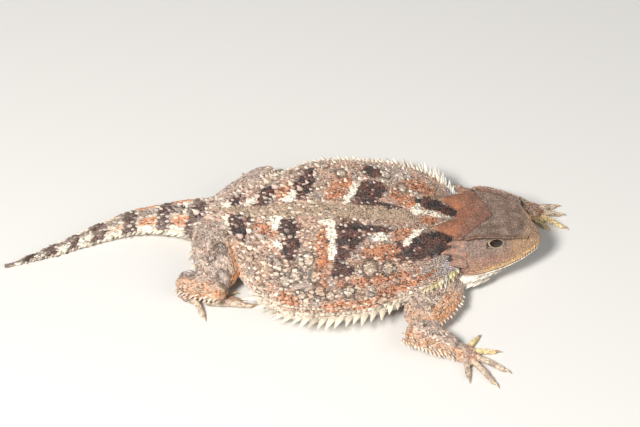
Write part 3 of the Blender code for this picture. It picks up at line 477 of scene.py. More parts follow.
def read_mesh(mesh):
    """Points in millimetres, faces as quads with triangles repeating their last corner, and edges."""
    points = np.empty(len(mesh.vertices) * 3, np.float32)
    mesh.vertices.foreach_get("co", points)
    edges = np.empty(len(mesh.edges) * 2, np.int32)
    mesh.edges.foreach_get("vertices", edges)
    return points.reshape(-1, 3).astype(float) / MM, edges.reshape(-1, 2)


def hide_form():
    """Closed lofts of the trunk, the head and every limb, sunk under the scales."""
    turn = np.linspace(0, 2 * math.pi, 110, endpoint=False)
    stations = np.concatenate([np.linspace(0.2, 12, 100), np.linspace(12.1, LAST_STATION, 60)])
    parts = [lofted(trunk_point(stations[:, None], turn[None, :], COAT))]
    backs = np.concatenate([[0.0, 0.25, 0.6, 1.0], np.linspace(1.6, 19.6, 56)])
    half = head_sections(backs)
    share = np.linspace(0, half.shape[1] - 1, 80)
    fine = np.moveaxis(smooth(share, np.arange(half.shape[1], dtype=float), np.moveaxis(half, 1, 0)), 1, 0)
    middle = fine.mean(axis=1, keepdims=True) * (0, 1)
    fine = middle + (fine - middle) * (1 - COAT * 0.7 / 8.0)
    fine = np.concatenate([fine, middle[-1:] + (fine[-1:] - middle[-1:]) * 0.93,
                           middle[-1:] + (fine[-1:] - middle[-1:]) * 0.72])
    backs = np.concatenate([backs, [20.1, 20.4]])
    right, left = fine * (-1, 1), fine[:, -2:0:-1]
    loop = np.concatenate([right, left], axis=1)
    parts.append(lofted(from_head(backs[:, None], loop[..., 0], loop[..., 1])))
    for limb in LIMBS.values():
        for number, (path, widths, heights) in enumerate(limb_paths(limb, COAT, DIGIT_COAT)):
            ends = (0.45, 0.4) if number < 2 else (0.28, 0.32)
            parts.append(tube(path, widths, heights, ends=ends))
    return joined([(p, outward(p, f)) for p, f in parts])


def remeshed(name, points, faces):
    """One closed surface round all the lofts, from Blender's voxel remesh."""
    rough = mesh_piece(name, points, faces)
    grid = rough.modifiers.new("grid", "REMESH")
    grid.mode = "VOXEL"
    grid.voxel_size = HIDE_GRID * MM
    made = bpy.data.meshes.new_from_object(rough.evaluated_get(bpy.context.evaluated_depsgraph_get()))
    bpy.data.objects.remove(rough)
    obj = bpy.data.objects.new(name, made)
    bpy.context.scene.collection.objects.link(obj)
    return obj


def relaxed(points, edges, rounds):
    """Taubin smoothing: a step towards the neighbours' mean, then a slightly longer step away, in turns."""
    count = np.bincount(edges.ravel(), minlength=len(points))[:, None]
    for share in (0.5, -0.52) * rounds:
        mean = np.zeros_like(points)
        np.add.at(mean, edges[:, 0], points[edges[:, 1]])
        np.add.at(mean, edges[:, 1], points[edges[:, 0]])
        points = points + share * (mean / count - points)
    return points


def normals_of(obj):
    found = np.empty(len(obj.data.vertices) * 3, np.float32)
    obj.data.vertex_normals.foreach_get("vector", found)
    return found.reshape(-1, 3).astype(float)


def set_points(obj, points):
    obj.data.vertices.foreach_set("co", (points * MM).astype(np.float32).ravel())
    obj.data.update()


class Places:
    """Where points of the hide lie: in the trunk's terms, the head's and the limbs', and which they belong to."""

    TRUNK, HEAD, LIMB = 0, 1, 2

    def __init__(self, points):
        self.points = points
        self.find_trunk()
        self.find_head()
        self.find_limb()
        away = np.stack([self.trunk_away, self.head_away, self.limb_away])
        self.part = away.argmin(axis=0)
        self.limb_share = step(0.9, -0.5, self.limb_away - np.minimum(self.trunk_away, self.head_away))
        lies = np.stack([self.trunk_lie, np.broadcast_to(head_direction(1, 0, 0), points.shape), self.limb_lie])
        self.lie = lies[self.part, np.arange(len(points))]

    def find_trunk(self):
        """Station by Newton's steps along the midline, then the angle from the section's own formula."""
        p = self.points
        station = station_at(p[:, 0])
        for _ in range(5):
            row, along, left = trunk_at(station)
            ahead = np.stack([left[:, 1], -left[:, 0]], axis=-1)
            off = ((p[:, :2] - row[:, :2]) * ahead).sum(-1)
            pace = np.abs((trunk_at(station + 0.02)[0][:, :2] - trunk_at(station - 0.02)[0][:, :2])
                          * ahead).sum(-1) / 0.04
            station = np.clip(station - off / np.maximum(pace, 0.5), 0, LAST_STATION)
        row, along, left = trunk_at(station)
        _, _, width, edge, top, under = row.T
        side = ((p[:, :2] - row[:, :2]) * left).sum(-1) / width
        rise = np.clip((p[:, 2] - edge) / (top - edge), 0, None) ** (1 / brim_power(row[:, 0]))
        fall = np.clip((edge - p[:, 2]) / (edge - under), 0, None) ** (1 / 0.8)
        height = np.where(p[:, 2] >= edge, rise, -fall)
        self.station, self.x, self.width = station, row[:, 0] + 0 * station, width
        self.angle = np.degrees(np.arctan2(height, side))
        self.angle = np.where(self.angle < -90, self.angle + 360, self.angle)
        past = np.where(station > LAST_STATION - 0.01, np.linalg.norm(p[:, :2] - row[:, :2], axis=-1), 0)
        past = np.where(station < 0.01, np.linalg.norm(p[:, :2] - row[:, :2], axis=-1), past)
        self.trunk_away = np.maximum((np.hypot(side, height) - 1) * np.minimum(width, top - edge), 0) + past
        self.trunk_lie = np.concatenate([-along, np.zeros((len(p), 1))], axis=-1)

    def find_head(self):
        """Head terms, and how far outside the head's box of sizes each point is."""
        head = to_head(self.points)
        self.back, self.side, self.height = head.T
        rows = smooth(self.back, HEAD_STATIONS[:, 0], HEAD_STATIONS)
        _, crown, brow_w, brow_z, cheek_w, cheek_z, lip_w, lip_z, jaw_w, jaw_z, throat = rows.T
        heights = np.stack([throat, jaw_z, lip_z, cheek_z, brow_z])
        widths = np.stack([jaw_w, jaw_w, lip_w, cheek_w, brow_w])
        wide = widths[4].copy()
        for low, high, start, stop in zip(heights[:-1], heights[1:], widths[:-1], widths[1:]):
            share = (self.height - low) / np.maximum(high - low, 0.1)
            wide = np.where((share >= 0) & (share <= 1), start + share * (stop - start), wide)
        outside = [self.back - HEAD_LENGTH - 0.1, np.abs(self.side) - wide - 0.35, self.height - crown - 0.7,
                   throat - self.height - 0.2, -self.back - 0.6]
        self.head_away = np.maximum(np.max(outside, axis=0), 0) * 1.4
        self.crown_z, self.brow_z, self.brow_w = crown, brow_z, brow_w
        self.cheek_z, self.lip_z, self.jaw_z = cheek_z, lip_z, jaw_z

    def find_limb(self):
        """The nearest of many samples along every limb's paths, and the distance to its elliptical ring."""
        rows = []
        for index, limb in enumerate(LIMBS.values()):
            for number, (path, widths, heights) in enumerate(limb_paths(limb, 0, 0)):
                at = np.linspace(0, len(path) - 1, 26 if number < 2 else 14)
                numbers = np.arange(len(path), dtype=float)
                centre, along, side, up = tube_frame(path, at)
                sizes = np.stack([smooth(at, numbers, widths), smooth(at, numbers, heights)], axis=-1)
                labels = np.stack([np.full(len(at), index), np.full(len(at), number), at / at[-1]], axis=-1)
                rows.append(np.concatenate([centre, along, side, up, sizes, labels], axis=-1))
        rows = np.concatenate(rows)
        girth = rows[:, 12:14].min(axis=1)
        found = []
        for chunk in np.array_split(self.points, max(1, len(self.points) // 4000)):
            gap = np.linalg.norm(chunk[:, None] - rows[None, :, :3], axis=-1) - girth
            found.append(gap.argmin(axis=1))
        near = rows[np.concatenate(found)]
        rel = self.points - near[:, :3]
        across = np.stack([(rel * near[:, 6:9]).sum(-1), (rel * near[:, 9:12]).sum(-1)], axis=-1)
        length = np.linalg.norm(across, axis=-1)
        ring = length / np.maximum(np.linalg.norm(across / near[:, 12:14], axis=-1), 1e-6)
        beyond = np.abs((rel * near[:, 3:6]).sum(-1))
        self.limb_away = np.maximum(np.hypot(np.maximum(length - ring, 0), np.maximum(beyond - 0.5, 0)), 0)
        self.limb, self.length, self.share = near[:, 14].astype(int), near[:, 15].astype(int), near[:, 16]
        self.limb_turn = np.degrees(np.arctan2(across[:, 1], across[:, 0]))
        self.limb_lie = near[:, 3:6]


def spots(rows, x, degrees, wobble):
    """1 inside the nearest of some leaning ovals and 0 outside, with a soft, wandering edge."""
    found = np.zeros(len(x))
    for centre_x, centre_degrees, half_x, half_degrees, lean in rows:
        v = degrees - centre_degrees
        u = (x - centre_x + lean * v) / half_x
        r = (np.abs(u) ** 2.4 + np.abs(v / half_degrees) ** 2.4) ** (1 / 2.4)
        found = np.maximum(found, step(1.12, 0.9, r + wobble))
    return found


def painted(base, colour, share):
    """The base colour moved towards another by a share of 0 to 1 for each point."""
    share = np.broadcast_to(np.clip(share, 0, 1), len(base))
    return base + (np.array(colour, float) - base) * share[:, None]


def ring_share(x, degrees, width):
    """Shares of the outlines and the middles of the flank's rings, by the distance from each middle."""
    outline, middle = np.zeros(len(x)), np.zeros(len(x))
    for centre_x, centre_degrees, radius in RINGS:
        r = np.hypot(x - centre_x, np.radians(degrees - centre_degrees) * 0.6 * width) / radius
        outline = np.maximum(outline, np.exp(-((r - 0.85) / 0.22) ** 2))
        middle = np.maximum(middle, step(0.75, 0.5, r))
    return outline, middle


def tinted(colour, count):
    """One colour for each of a number of points."""
    return np.tile(np.array(colour, float), (count, 1))


def trunk_colour(at, grit):
    """The back's ground of tan, rose and grey, its dark, pale and orange markings, the belly, the tail's bands, and
    painted shade on the trunk at the head's rear edge.

    grit is each scale's own chance, which breaks up the edges between the markings.
    """
    p, x, deg = at.points, at.x, at.angle
    count = len(p)
    fine = waves(p, 2.2, 2)
    wobble = 0.09 * waves(p, 2.6, 3) + 0.06 * waves(p, 1.2, 4) + 0.5 * grit
    colour = painted(tinted(TAN, count), ROSE, 0.5 + 0.35 * waves(p, 7.0, 1))
    colour = painted(colour, GREY, 0.2 + 0.35 * waves(p, 4.0, 5))
    flank = step(142, 168, deg) + step(44, 20, deg)
    colour = painted(colour, (212, 190, 172), 0.55 * flank)
    colour = painted(colour, ORANGE, 0.16 * step(0.3, 1.7, fine + 2 * grit))
    colour = painted(colour, CREAM, 0.5 * step(-0.09, -0.13, grit))
    colour = painted(colour, ASH, 0.7 * spots(ASH_SPOTS, x, deg, wobble))
    warm = spots(ORANGE_SPOTS, x, deg, 1.3 * wobble + 0.02)
    colour = painted(colour, ORANGE, warm * (0.72 + 0.15 * fine))
    colour = painted(colour, BARK, 0.85 * step(0.08, 0.11, grit) * (0.6 + 0.4 * warm) * step(30, 24, x))
    colour = painted(colour, SLATE, 0.75 * step(0.11, 0.13, grit) * warm)
    outline, middle = ring_share(x, deg, at.width)
    colour = painted(colour, (96, 80, 70), 0.85 * outline)
    colour = painted(colour, (210, 194, 174), 0.6 * middle)
    edge = step(14, 4, deg) + step(166, 176, deg)
    colour = painted(colour, CREAM, 0.6 * edge)
    # Painted shade: the trunk darkened beside and under the head's rear edge.
    under = step(0.9, 0.25, at.head_away) * (p[:, 2] > 5)
    neck = step(27.5, 30.5, x) * step(134, 142, deg) + step(29.5, 31.5, x) * step(44, 30, deg)
    colour = painted(colour, LAVENDER, 0.85 * neck)
    fold = step(-9, -14, x) * step(-24, -19, x) * step(166, 172, deg) * step(190, 186, deg)
    colour = painted(colour, FOLD_PINK, 0.8 * fold)
    dark = painted(tinted(UMBER, count), MAROON, 0.35 + 0.5 * waves(p, 2.4, 14))
    dark = painted(dark, SLATE, 0.25 + 0.5 * waves(p, 3.1, 15))
    blot = 0.97 * spots(DARK_SPOTS, x, deg, wobble)
    colour = colour + (dark - colour) * blot[:, None]
    stripe = step(6.5, 4.0, np.abs(deg - 92.5) + 8 * wobble) * step(25, 22, x) * step(-38, -33, x)
    colour = painted(colour, (176, 152, 130), stripe)
    bend = 0.22 * waves(p, 2.0, 17)
    colour = painted(colour, CREAM, spots(PALE_SPOTS, x, deg, 0.9 * wobble + bend - 0.18))
    # Paints the shade by the head's rear edge.
    colour = painted(colour, (52, 40, 38), 0.8 * under)
    band = np.zeros(count)
    for centre, half in TAIL_BANDS:
        lean = 0.012 * np.abs(deg - 90)
        band = np.maximum(band, step(1.25, 0.85, np.abs(x - centre + lean) / half + wobble))
    side_on = step(14, 26, np.abs(deg - 91))
    tail = step(-26.5, -28.5, x)
    dark = painted(tinted((120, 102, 94), count), UMBER, 0.4 + 0.3 * fine + grit)
    centre = step(0.7, 1.0, band) * step(-55, -45, x) * step(20, 32, np.abs(deg - 91)) * step(68, 52, np.abs(deg - 91))
    pale = painted(tinted(np.array(CREAM) * 0.97, count), ORANGE, 0.85 * centre)
    banded = dark + (pale - dark) * (band * (0.35 + 0.65 * side_on))[:, None]
    banded = painted(banded, (206, 190, 172), 0.8 * step(-73.0, -75.0, x))
    colour = colour + (banded - colour) * tail[:, None]
    return painted(colour, BELLY, step(-4, -14, deg) + step(184, 194, deg))


def head_colour(at, grit):
    """Crown, the warm shield behind its V-shaped border, cheek, muzzle, lips and pale jaw, with painted shade under
    the brow and along the border.
    """
    p, back, side, height = at.points, at.back, np.abs(at.side), at.height
    wobble = waves(p, 1.6, 6) + 2 * grit
    colour = painted(tinted(CROWN, len(p)), CROWN_PALE, 0.35 + 0.35 * waves(p, 2.4, 7) + 1.5 * grit)
    border = 11.8 + 0.72 * side
    behind = back - border
    shield = painted(tinted(SHIELD, len(p)), SHIELD_WARM, step(2.5, 7.0, behind + 0.8 * wobble) * 0.75)
    shield = painted(shield, (156, 94, 78), 0.4 * step(0.3, 1.4, waves(p, 3.0, 9)))
    share = step(-0.25, 0.5, behind + 0.15 * wobble)
    colour = colour + (shield - colour) * (0.92 * share)[:, None]
    # Painted shade in the groove along the V-shaped border.
    colour = painted(colour, (88, 68, 60), 0.72 * np.exp(-(behind / 0.26) ** 2))
    colour = painted(colour, MUZZLE, step(5.5, 1.0, back + 0.3 * wobble) * 0.75)
    below = step(0.15, 0.7, at.brow_z - height + 0.15 * wobble) * step(0.2, 1.2, side - 0.55 * at.brow_w)
    cheek = painted(tinted(CHEEK, len(p)), BLUSH,
                    0.75 * step(-0.2, -1.9, height - at.cheek_z + 0.4 * wobble) * step(20.5, 16.0, back))
    cheek = painted(cheek, BLUSH, 0.35 * step(16.5, 19.0, back))
    cheek = painted(cheek, BARK, 0.3 * step(0.8, 1.6, waves(p, 1.3, 16) + 4 * grit))
    cheek = painted(cheek, MUZZLE, step(9.0, 5.0, back + 0.5 * wobble))
    cheek = painted(cheek, LIP, step(1.3, 0.5, np.abs(height - at.lip_z - 0.3)) * 0.7 * step(17, 13, back))
    colour = colour + (cheek - colour) * below[:, None]
    # Painted shadow under the overhanging brow, on the hide just below its edge.
    drop = at.brow_z - height
    brow_shade = step(0.1, 0.35, drop) * step(1.1, 0.7, drop) * step(0.72, 0.85, side / at.brow_w) * step(3.0, 5.0, back)
    colour = painted(colour, CREASE_SHADE, 0.75 * brow_shade)
    jaw = step(0.1, -0.35, height - at.lip_z + 0.3)
    colour = painted(colour, JAW, jaw)
    return painted(colour, LAVENDER, 0.8 * step(18.0, 19.3, back) * step(9.4, 8.6, height))


def limb_colour(at, grit):
    """Rosy grey limbs, orange along one edge and at the joints, with speckles, and cream and grey digits."""
    p = at.points
    count = len(p)
    fine = waves(p, 1.8, 8) + 2 * grit
    colour = painted(tinted(LIMB, count), GREY, 0.2 + 0.3 * waves(p, 3.0, 10))
    colour = painted(colour, LIMB_PALE, 0.45 * step(0.0, 1.4, waves(p, 2.2, 11) + grit))
    colour = painted(colour, ORANGE, 0.2 * step(0.5, 1.7, fine))
    colour = painted(colour, CREAM, 0.5 * step(-0.08, -0.12, grit))
    colour = painted(colour, BARK, 0.55 * step(0.09, 0.12, grit))
    colour = painted(colour, BARK, 0.4 * step(1.0, 1.8, waves(p, 2.6, 12) + grit))
    joint = np.where(at.length == 0, step(0.8, 1.0, at.share), step(0.22, 0.03, at.share)) * (at.length < 2)
    front = np.where((at.length == 0) == (at.limb % 2 == 0), 180.0, 0.0)
    front = np.where((at.limb == 2) & (at.length == 1), 160.0, front)
    turn = np.abs((at.limb_turn - front + 180) % 360 - 180)
    edge = step(66, 30, turn) * (at.length < 2) * np.where(at.length == 0, step(0.3, 0.55, at.share), 0.75)
    colour = painted(colour, (216, 142, 88), np.clip(0.3 * joint + 0.62 * edge, 0, 1) * (0.75 + 0.25 * fine))
    for x, y, radius in LIMB_RINGS:
        r = np.hypot(p[:, 0] - x, p[:, 1] - y) / radius + 0.08 * waves(p, 1.5, 18)
        colour = painted(colour, (90, 74, 66), 0.72 * np.exp(-((r - 0.85) / 0.26) ** 2) * (p[:, 2] > 3.5))
        colour = painted(colour, (172, 164, 162), 0.55 * step(0.75, 0.5, r) * (p[:, 2] > 3.5))
    palm = (at.length == 2) & (at.limb < 2)
    colour = painted(colour, ORANGE, 0.45 * palm * (0.7 + 0.3 * fine))
    digit = at.length >= 3
    inner = np.isin(at.length, (3, 4)) & (at.limb < 2)
    tone = np.where(inner[:, None], np.array(DIGIT_PALE, float), np.array(DIGIT_GREY, float))
    tone = painted(tone, DIGIT_DARK, 0.6 * step(0.1, 0.9, waves(p, 1.8, 13)) * ~inner)
    tone = painted(tone, ORANGE, 0.4 * step(0.4, 0.0, at.share) * (at.limb < 2))
    colour = colour + (tone - colour) * digit[:, None]
    return painted(colour, BELLY, 0.8 * step(1.2, 0.3, p[:, 2]) * ~digit)


def hide_colour(at, grit=0.0):
    """The marking at every point, with painted shade by the head, under the brow and along the crown's border, as sRGB
    0 to 255, blended where a limb grows from the body.
    """
    grit = np.broadcast_to(grit, len(at.points))
    colour = np.where((at.part == Places.HEAD)[:, None], head_colour(at, grit), trunk_colour(at, grit))
    return colour + (limb_colour(at, grit) - colour) * at.limb_share[:, None]


def linear(colour):
    """Linear light from sRGB 0 to 255."""
    c = np.clip(colour, 0, 255) / 255
    return np.where(c <= 0.04045, c / 12.92, ((c + 0.055) / 1.055) ** 2.4)


def set_colours(obj, colour):
    """Writes the piece's colour attribute, which its material reads: its markings together with any painted shade and
    highlight.
    """
    rgba = np.concatenate([linear(colour), np.ones((len(colour), 1))], axis=1)
    marking = obj.data.color_attributes.new("MarkingAndPaintedLight", "FLOAT_COLOR", "POINT")
    marking.data.foreach_set("color", rgba.astype(np.float32).ravel())


def beside_eye(points):
    """Distance of each point from the line that runs out sideways through the nearer eye, large elsewhere."""
    found = np.full(len(points), 99.0)
    for hand in (-1, 1):
        out = head_direction(0, hand, 0)
        rel = points - from_head(EYE_SPOT[0], hand * EYE_SPOT[1], EYE_SPOT[2])
        off = np.linalg.norm(rel - (rel @ out)[:, None] * out, axis=-1)
        found = np.where((rel @ out > 1.4) & (rel @ out < 4.5), np.minimum(found, off), found)
    return found


def hide_relief(points, normals, at):
    """Moves the hide in and out: noise, folds of the neck and throat, the eye's hollow, mouth, nostrils, ears."""
    rise = 0.05 * waves(points, 2.2, 20) + 0.035 * waves(points, 1.0, 21)
    back, side, height = at.back, np.abs(at.side), at.height
    head = (at.part == Places.HEAD) & (at.limb_share < 0.5)
    rise = np.where(head, 0.4 * rise, rise)
    rise = np.where(at.length >= 3, np.where(at.part == Places.LIMB, 0.3 * rise, rise), rise)
    mouth = np.exp(-((height - at.lip_z + 0.3) / 0.28) ** 2) * step(MOUTH_CORNER + 0.6, MOUTH_CORNER - 1.5, back)
    rise = rise - 0.38 * head * mouth
    border = np.exp(-((back - 11.8 - 0.72 * side) / 0.3) ** 2) * step(1.2, 0.2, at.crown_z - height)
    rise = rise - 0.22 * head * border
    ear = np.exp(-((back - 17.7) / 0.7) ** 2 - ((height - 8.6) / 1.1) ** 2)
    nostril = np.exp(-((back - 2.6) / 0.42) ** 2 - ((height - 12.0) / 0.4) ** 2)
    rise = rise - head * (1.0 * ear + 0.5 * nostril)
    rise = rise - 1.3 * step(2.0, 1.4, beside_eye(points))
    neck = step(20.5, 22.0, back) * step(36.5, 34.0, at.x) * step(26.0, 28.5, at.x) * (at.part == Places.TRUNK)
    folds = np.sin((at.x * 1.0 + 0.02 * (at.angle - 90)) * 2 * math.pi / 2.6)
    rise = rise + 0.22 * neck * folds * step(20, 50, np.abs(at.angle - 90))
    return points + normals * rise[:, None]


def build_hide(material):
    """The one skin: lofts, voxel remesh, smoothing, relief, and the markings as an attribute, darkened as painted
    shade between the scales and in the eye's hollow.
    """
    obj = remeshed("hide", *hide_form())
    points, edges = read_mesh(obj.data)
    points = relaxed(points, edges, 5)
    set_points(obj, points)
    at = Places(points)
    points = hide_relief(points, normals_of(obj), at)
    points[:, 2] = np.maximum(points[:, 2], FLOOR_GAP)
    set_points(obj, points)
    obj.data.polygons.foreach_set("use_smooth", np.ones(len(obj.data.polygons), bool))
    obj.data.materials.append(material)
    at = Places(points)
    # Painted shade: the hide under the scales is darkened so the gaps between them read dark, less on the head and
    # least on the belly, and most in the eye's hollow.
    shade = np.where(at.part == Places.HEAD, 0.72, 0.56) + 0.05 * waves(points, 0.9, 30)
    eye_hollow_shade = step(1.95, 1.4, beside_eye(points))
    shade = np.where((at.part == Places.TRUNK) & (at.angle < -8) | (at.angle > 188), 0.8, shade)
    set_colours(obj, hide_colour(at) * (shade * (1 - 0.8 * eye_hollow_shade))[:, None])
    return obj, at


def ring_form(rings, tip, tones):
    """A small closed form: rings of points from its sunk foot up, a fan under the first, a tip over the last.

    It returns points, triangles, and a tone for each point: -1 is painted shade, and +1 is pale, a painted highlight
    that on spines is also their own paler point.
    """
    rings = np.asarray(rings, float)
    count, around = rings.shape[:2]
    points = np.concatenate([rings.reshape(-1, 3), [tip]])
    i, j = np.meshgrid(np.arange(count - 1), np.arange(around), indexing="ij")
    k = (j + 1) % around
    a, b, c, d = i * around + j, i * around + k, (i + 1) * around + k, (i + 1) * around + j
    sides = np.stack([a, b, c, a, c, d], axis=-1).reshape(-1, 3)
    j = np.arange(around)
    top = np.stack([(count - 1) * around + j, (count - 1) * around + (j + 1) % around,
                    np.full(around, count * around)], axis=-1)
    j = np.arange(1, around - 1)
    foot = np.stack([np.zeros_like(j), j + 1, j], axis=-1)
    shade = np.concatenate([np.repeat(tones[:-1], around), tones[-1:]])
    return points, np.concatenate([sides, top, foot]), shade


def circle(radius, height, around, shift=0.0):
    """A level ring of points, moved back by shift."""
    turn = np.linspace(0, 2 * math.pi, around, endpoint=False) + math.pi / around
    return np.stack([radius * np.cos(turn) + shift, radius * np.sin(turn), np.full(around, height)], axis=-1)


def granule_form():
    """A low dome with a flat crown and a rim paled as a painted highlight."""
    rings = [circle(1.0, -0.7, 6), circle(0.93, 0.25, 6), circle(0.6, 0.8, 6)]
    return ring_form(rings, (0.05, 0, 0.9), [-1.0, 0.35, 0.25, -0.1])


def grain_form():
    """The smallest scale: a low dome of five sides."""
    return ring_form([circle(1.0, -0.5, 5), circle(0.86, 0.35, 5)], (0.12, 0, 0.95), [-1.0, 0.05, 0.35])


def keeled_form():
    """A scale that is pointed behind and rises backwards, under a ridge along its middle."""
    outline = np.array([(1.12, 0), (0.4, 0.8), (-0.5, 0.7), (-0.95, 0), (-0.5, -0.7), (0.4, -0.8)])
    foot = np.column_stack([outline, np.full(6, -0.6)])
    rim = np.column_stack([outline * 0.95, 0.14 + 0.2 * (outline[:, 0] + 0.95)])
    points = np.concatenate([foot, rim, [(0.62, 0, 0.92), (-0.5, 0, 0.5)]])
    j = np.arange(6)
    k = (j + 1) % 6
    sides = np.stack([j, k, k + 6, j, k + 6, j + 6], axis=-1).reshape(-1, 3)
    top = [(6, 7, 12), (7, 13, 12), (7, 8, 13), (8, 9, 13), (9, 10, 13), (10, 11, 13), (11, 12, 13), (11, 6, 12)]
    base = [(0, 2, 1), (0, 3, 2), (0, 4, 3), (0, 5, 4)]
    tones = np.concatenate([np.full(6, -1.0), [0.5, -0.1, -0.25, -0.25, -0.25, -0.1], [0.65, 0.25]])
    return points, np.concatenate([sides, top, base]), tones


def cone_form():
    """A raised spine that curves backwards, on a wider foot."""
    rings = [circle(1.0, -0.4, 7), circle(0.96, 0.15, 7), circle(0.7, 0.6, 7, 0.1), circle(0.46, 1.1, 7, 0.3),
             circle(0.22, 1.5, 7, 0.55)]
    return ring_form(rings, (0.82, 0, 1.78), [-0.7, -0.1, 0.35, 0.65, 0.8, 0.9])


def stud_form():
    """A low raised scale with a keel and a blunt point towards its rear."""
    rings = [circle(1.0, -0.5, 6), circle(0.95, 0.15, 6), circle(0.66, 0.6, 6, 0.2), circle(0.32, 0.95, 6, 0.5)]
    return ring_form(rings, (0.85, 0, 1.1), [-0.8, 0.1, 0.6, 0.9, 1.0])


def blade_form():
    """A flat pointed spine along +x, ridged above, with its foot sunk behind the root."""
    turn = np.linspace(0, 2 * math.pi, 8, endpoint=False)
    rings = []
    for reach, girth, bend in ((-0.3, 0.5, 0.0), (0.0, 0.5, 0.0), (0.35, 0.43, 0.02), (0.65, 0.27, 0.06),
                               (0.87, 0.12, 0.12)):
        high = np.sin(turn) * girth * np.where(np.sin(turn) > 0.9, 1.25, 0.8)
        rings.append(np.stack([np.full(8, reach), np.cos(turn) * girth + bend, high], axis=-1))
    return ring_form(rings, (1.0, 0.2, 0.02), [-0.7, -0.35, 0.1, 0.5, 0.8, 1.0])


def plate_form():
    """A thin flat scale of the belly."""
    return ring_form([circle(1.0, -0.5, 6), circle(0.9, 0.5, 6)], (0.1, 0, 0.7), [-0.8, 0.0, 0.1])


def planted(form, roots, normals, lies, long_, wide, high):
    """Copies of a form on the hide: its x along the lie, its y across, its z along the normal."""
    template, faces, tones = form
    x = unit(lies - normals * (lies * normals).sum(-1, keepdims=True))
    y = np.cross(normals, x)
    points = (roots[:, None] + x[:, None] * (template[None, :, 0] * long_[:, None])[..., None]
              + y[:, None] * (template[None, :, 1] * wide[:, None])[..., None]
              + normals[:, None] * (template[None, :, 2] * high[:, None])[..., None])
    copies = faces[None] + (np.arange(len(roots)) * len(template))[:, None, None]
    return points.reshape(-1, 3), copies.reshape(-1, 3), np.tile(tones, len(roots))


def chart(at):
    """Each point's place on an unwrap of the hide's own shape, from 0 to 1.

    The trunk lies across the lower part by station and angle, the head over it by its distance behind the
    snout and the turn round its axis, and each limb in a strip beside the head by its length and turn.
    """
    u = at.station / LAST_STATION * 0.98 + 0.01
    v = (np.mod(at.angle + 90, 360) / 360) * 0.58 + 0.01
    turn = np.arctan2(at.height - 9.0, at.side) / (2 * math.pi) + 0.5
    u = np.where(at.part == Places.HEAD, 0.01 + 0.3 * np.clip(at.back / 21.5, 0, 1), u)
    v = np.where(at.part == Places.HEAD, 0.61 + 0.37 * turn, v)
    round_limb = (at.limb_turn + 180) / 360
    limb_u = 0.33 + 0.66 * (at.length + at.share) / 8.0
    limb_v = 0.61 + 0.095 * at.limb + 0.088 * round_limb
    u = np.where(at.part == Places.LIMB, limb_u, u)
    return u, np.where(at.part == Places.LIMB, limb_v, v)


def coat_piece(name, forms, at, normals, long_, wide, high, material, lies=None, colour=None, kind=None,
               pale=0.42, is_smooth=False):
    """One coat piece: planted copies in their roots' markings, shaded at the foot and paled to the tip as painted
    light (on spines also their own pale points), and the OFBake map.

    kind says which of the forms each root carries.
    """
    lies = at.lie if lies is None else lies
    kind = np.zeros(len(at.points), int) if kind is None else kind
    count = len(at.points)
    colour = hide_colour(at, RNG.normal(0, 0.09, count)) if colour is None else colour
    own = np.array((ROSE, GREY, CREAM, BARK), float)[RNG.integers(0, 4, count)]
    colour = colour + (own - colour) * (0.14 * RNG.random(count) ** 2)[:, None]
    colour = colour * RNG.normal(1.0, 0.085, count)[:, None]
    u, v = chart(at)
    parts, shades, places = [], [], []
    for number, form in enumerate(forms):
        pick = kind == number
        points, faces, tones = planted(form, at.points[pick], normals[pick], lies[pick], long_[pick], wide[pick],
                                       high[pick])
        count = len(form[0])
        base = np.repeat(colour[pick], count, axis=0)
        parts.append((points, faces))
        # Painted shade darkens each copy towards its sunk foot; painted highlight pales it towards its rim, keel or
        # tip, which on spines is also their own paler point.
        shades.append(np.where(tones[:, None] < 0, base * (1 + 0.45 * tones[:, None]),
                               base + (np.array((250, 242, 228)) - base) * pale * tones[:, None]))
        flat = form[0][:, :2] / (np.abs(form[0][:, :2]).max() * 2) * PATCH
        places.append(np.stack([(u[pick][:, None] + flat[:, 0]).ravel(), (v[pick][:, None] + flat[:, 1]).ravel()],
                               axis=-1))
    points, faces = joined(parts)
    points[:, 2] = np.maximum(points[:, 2], 0.02)
    obj = mesh_piece(name, points, faces, material, is_smooth)
    set_colours(obj, np.concatenate(shades))
    uv = np.concatenate(places)[faces.ravel()]
    obj.data.uv_layers.new(name="OFBake").data.foreach_set("uv", uv.astype(np.float32).ravel())
    return obj


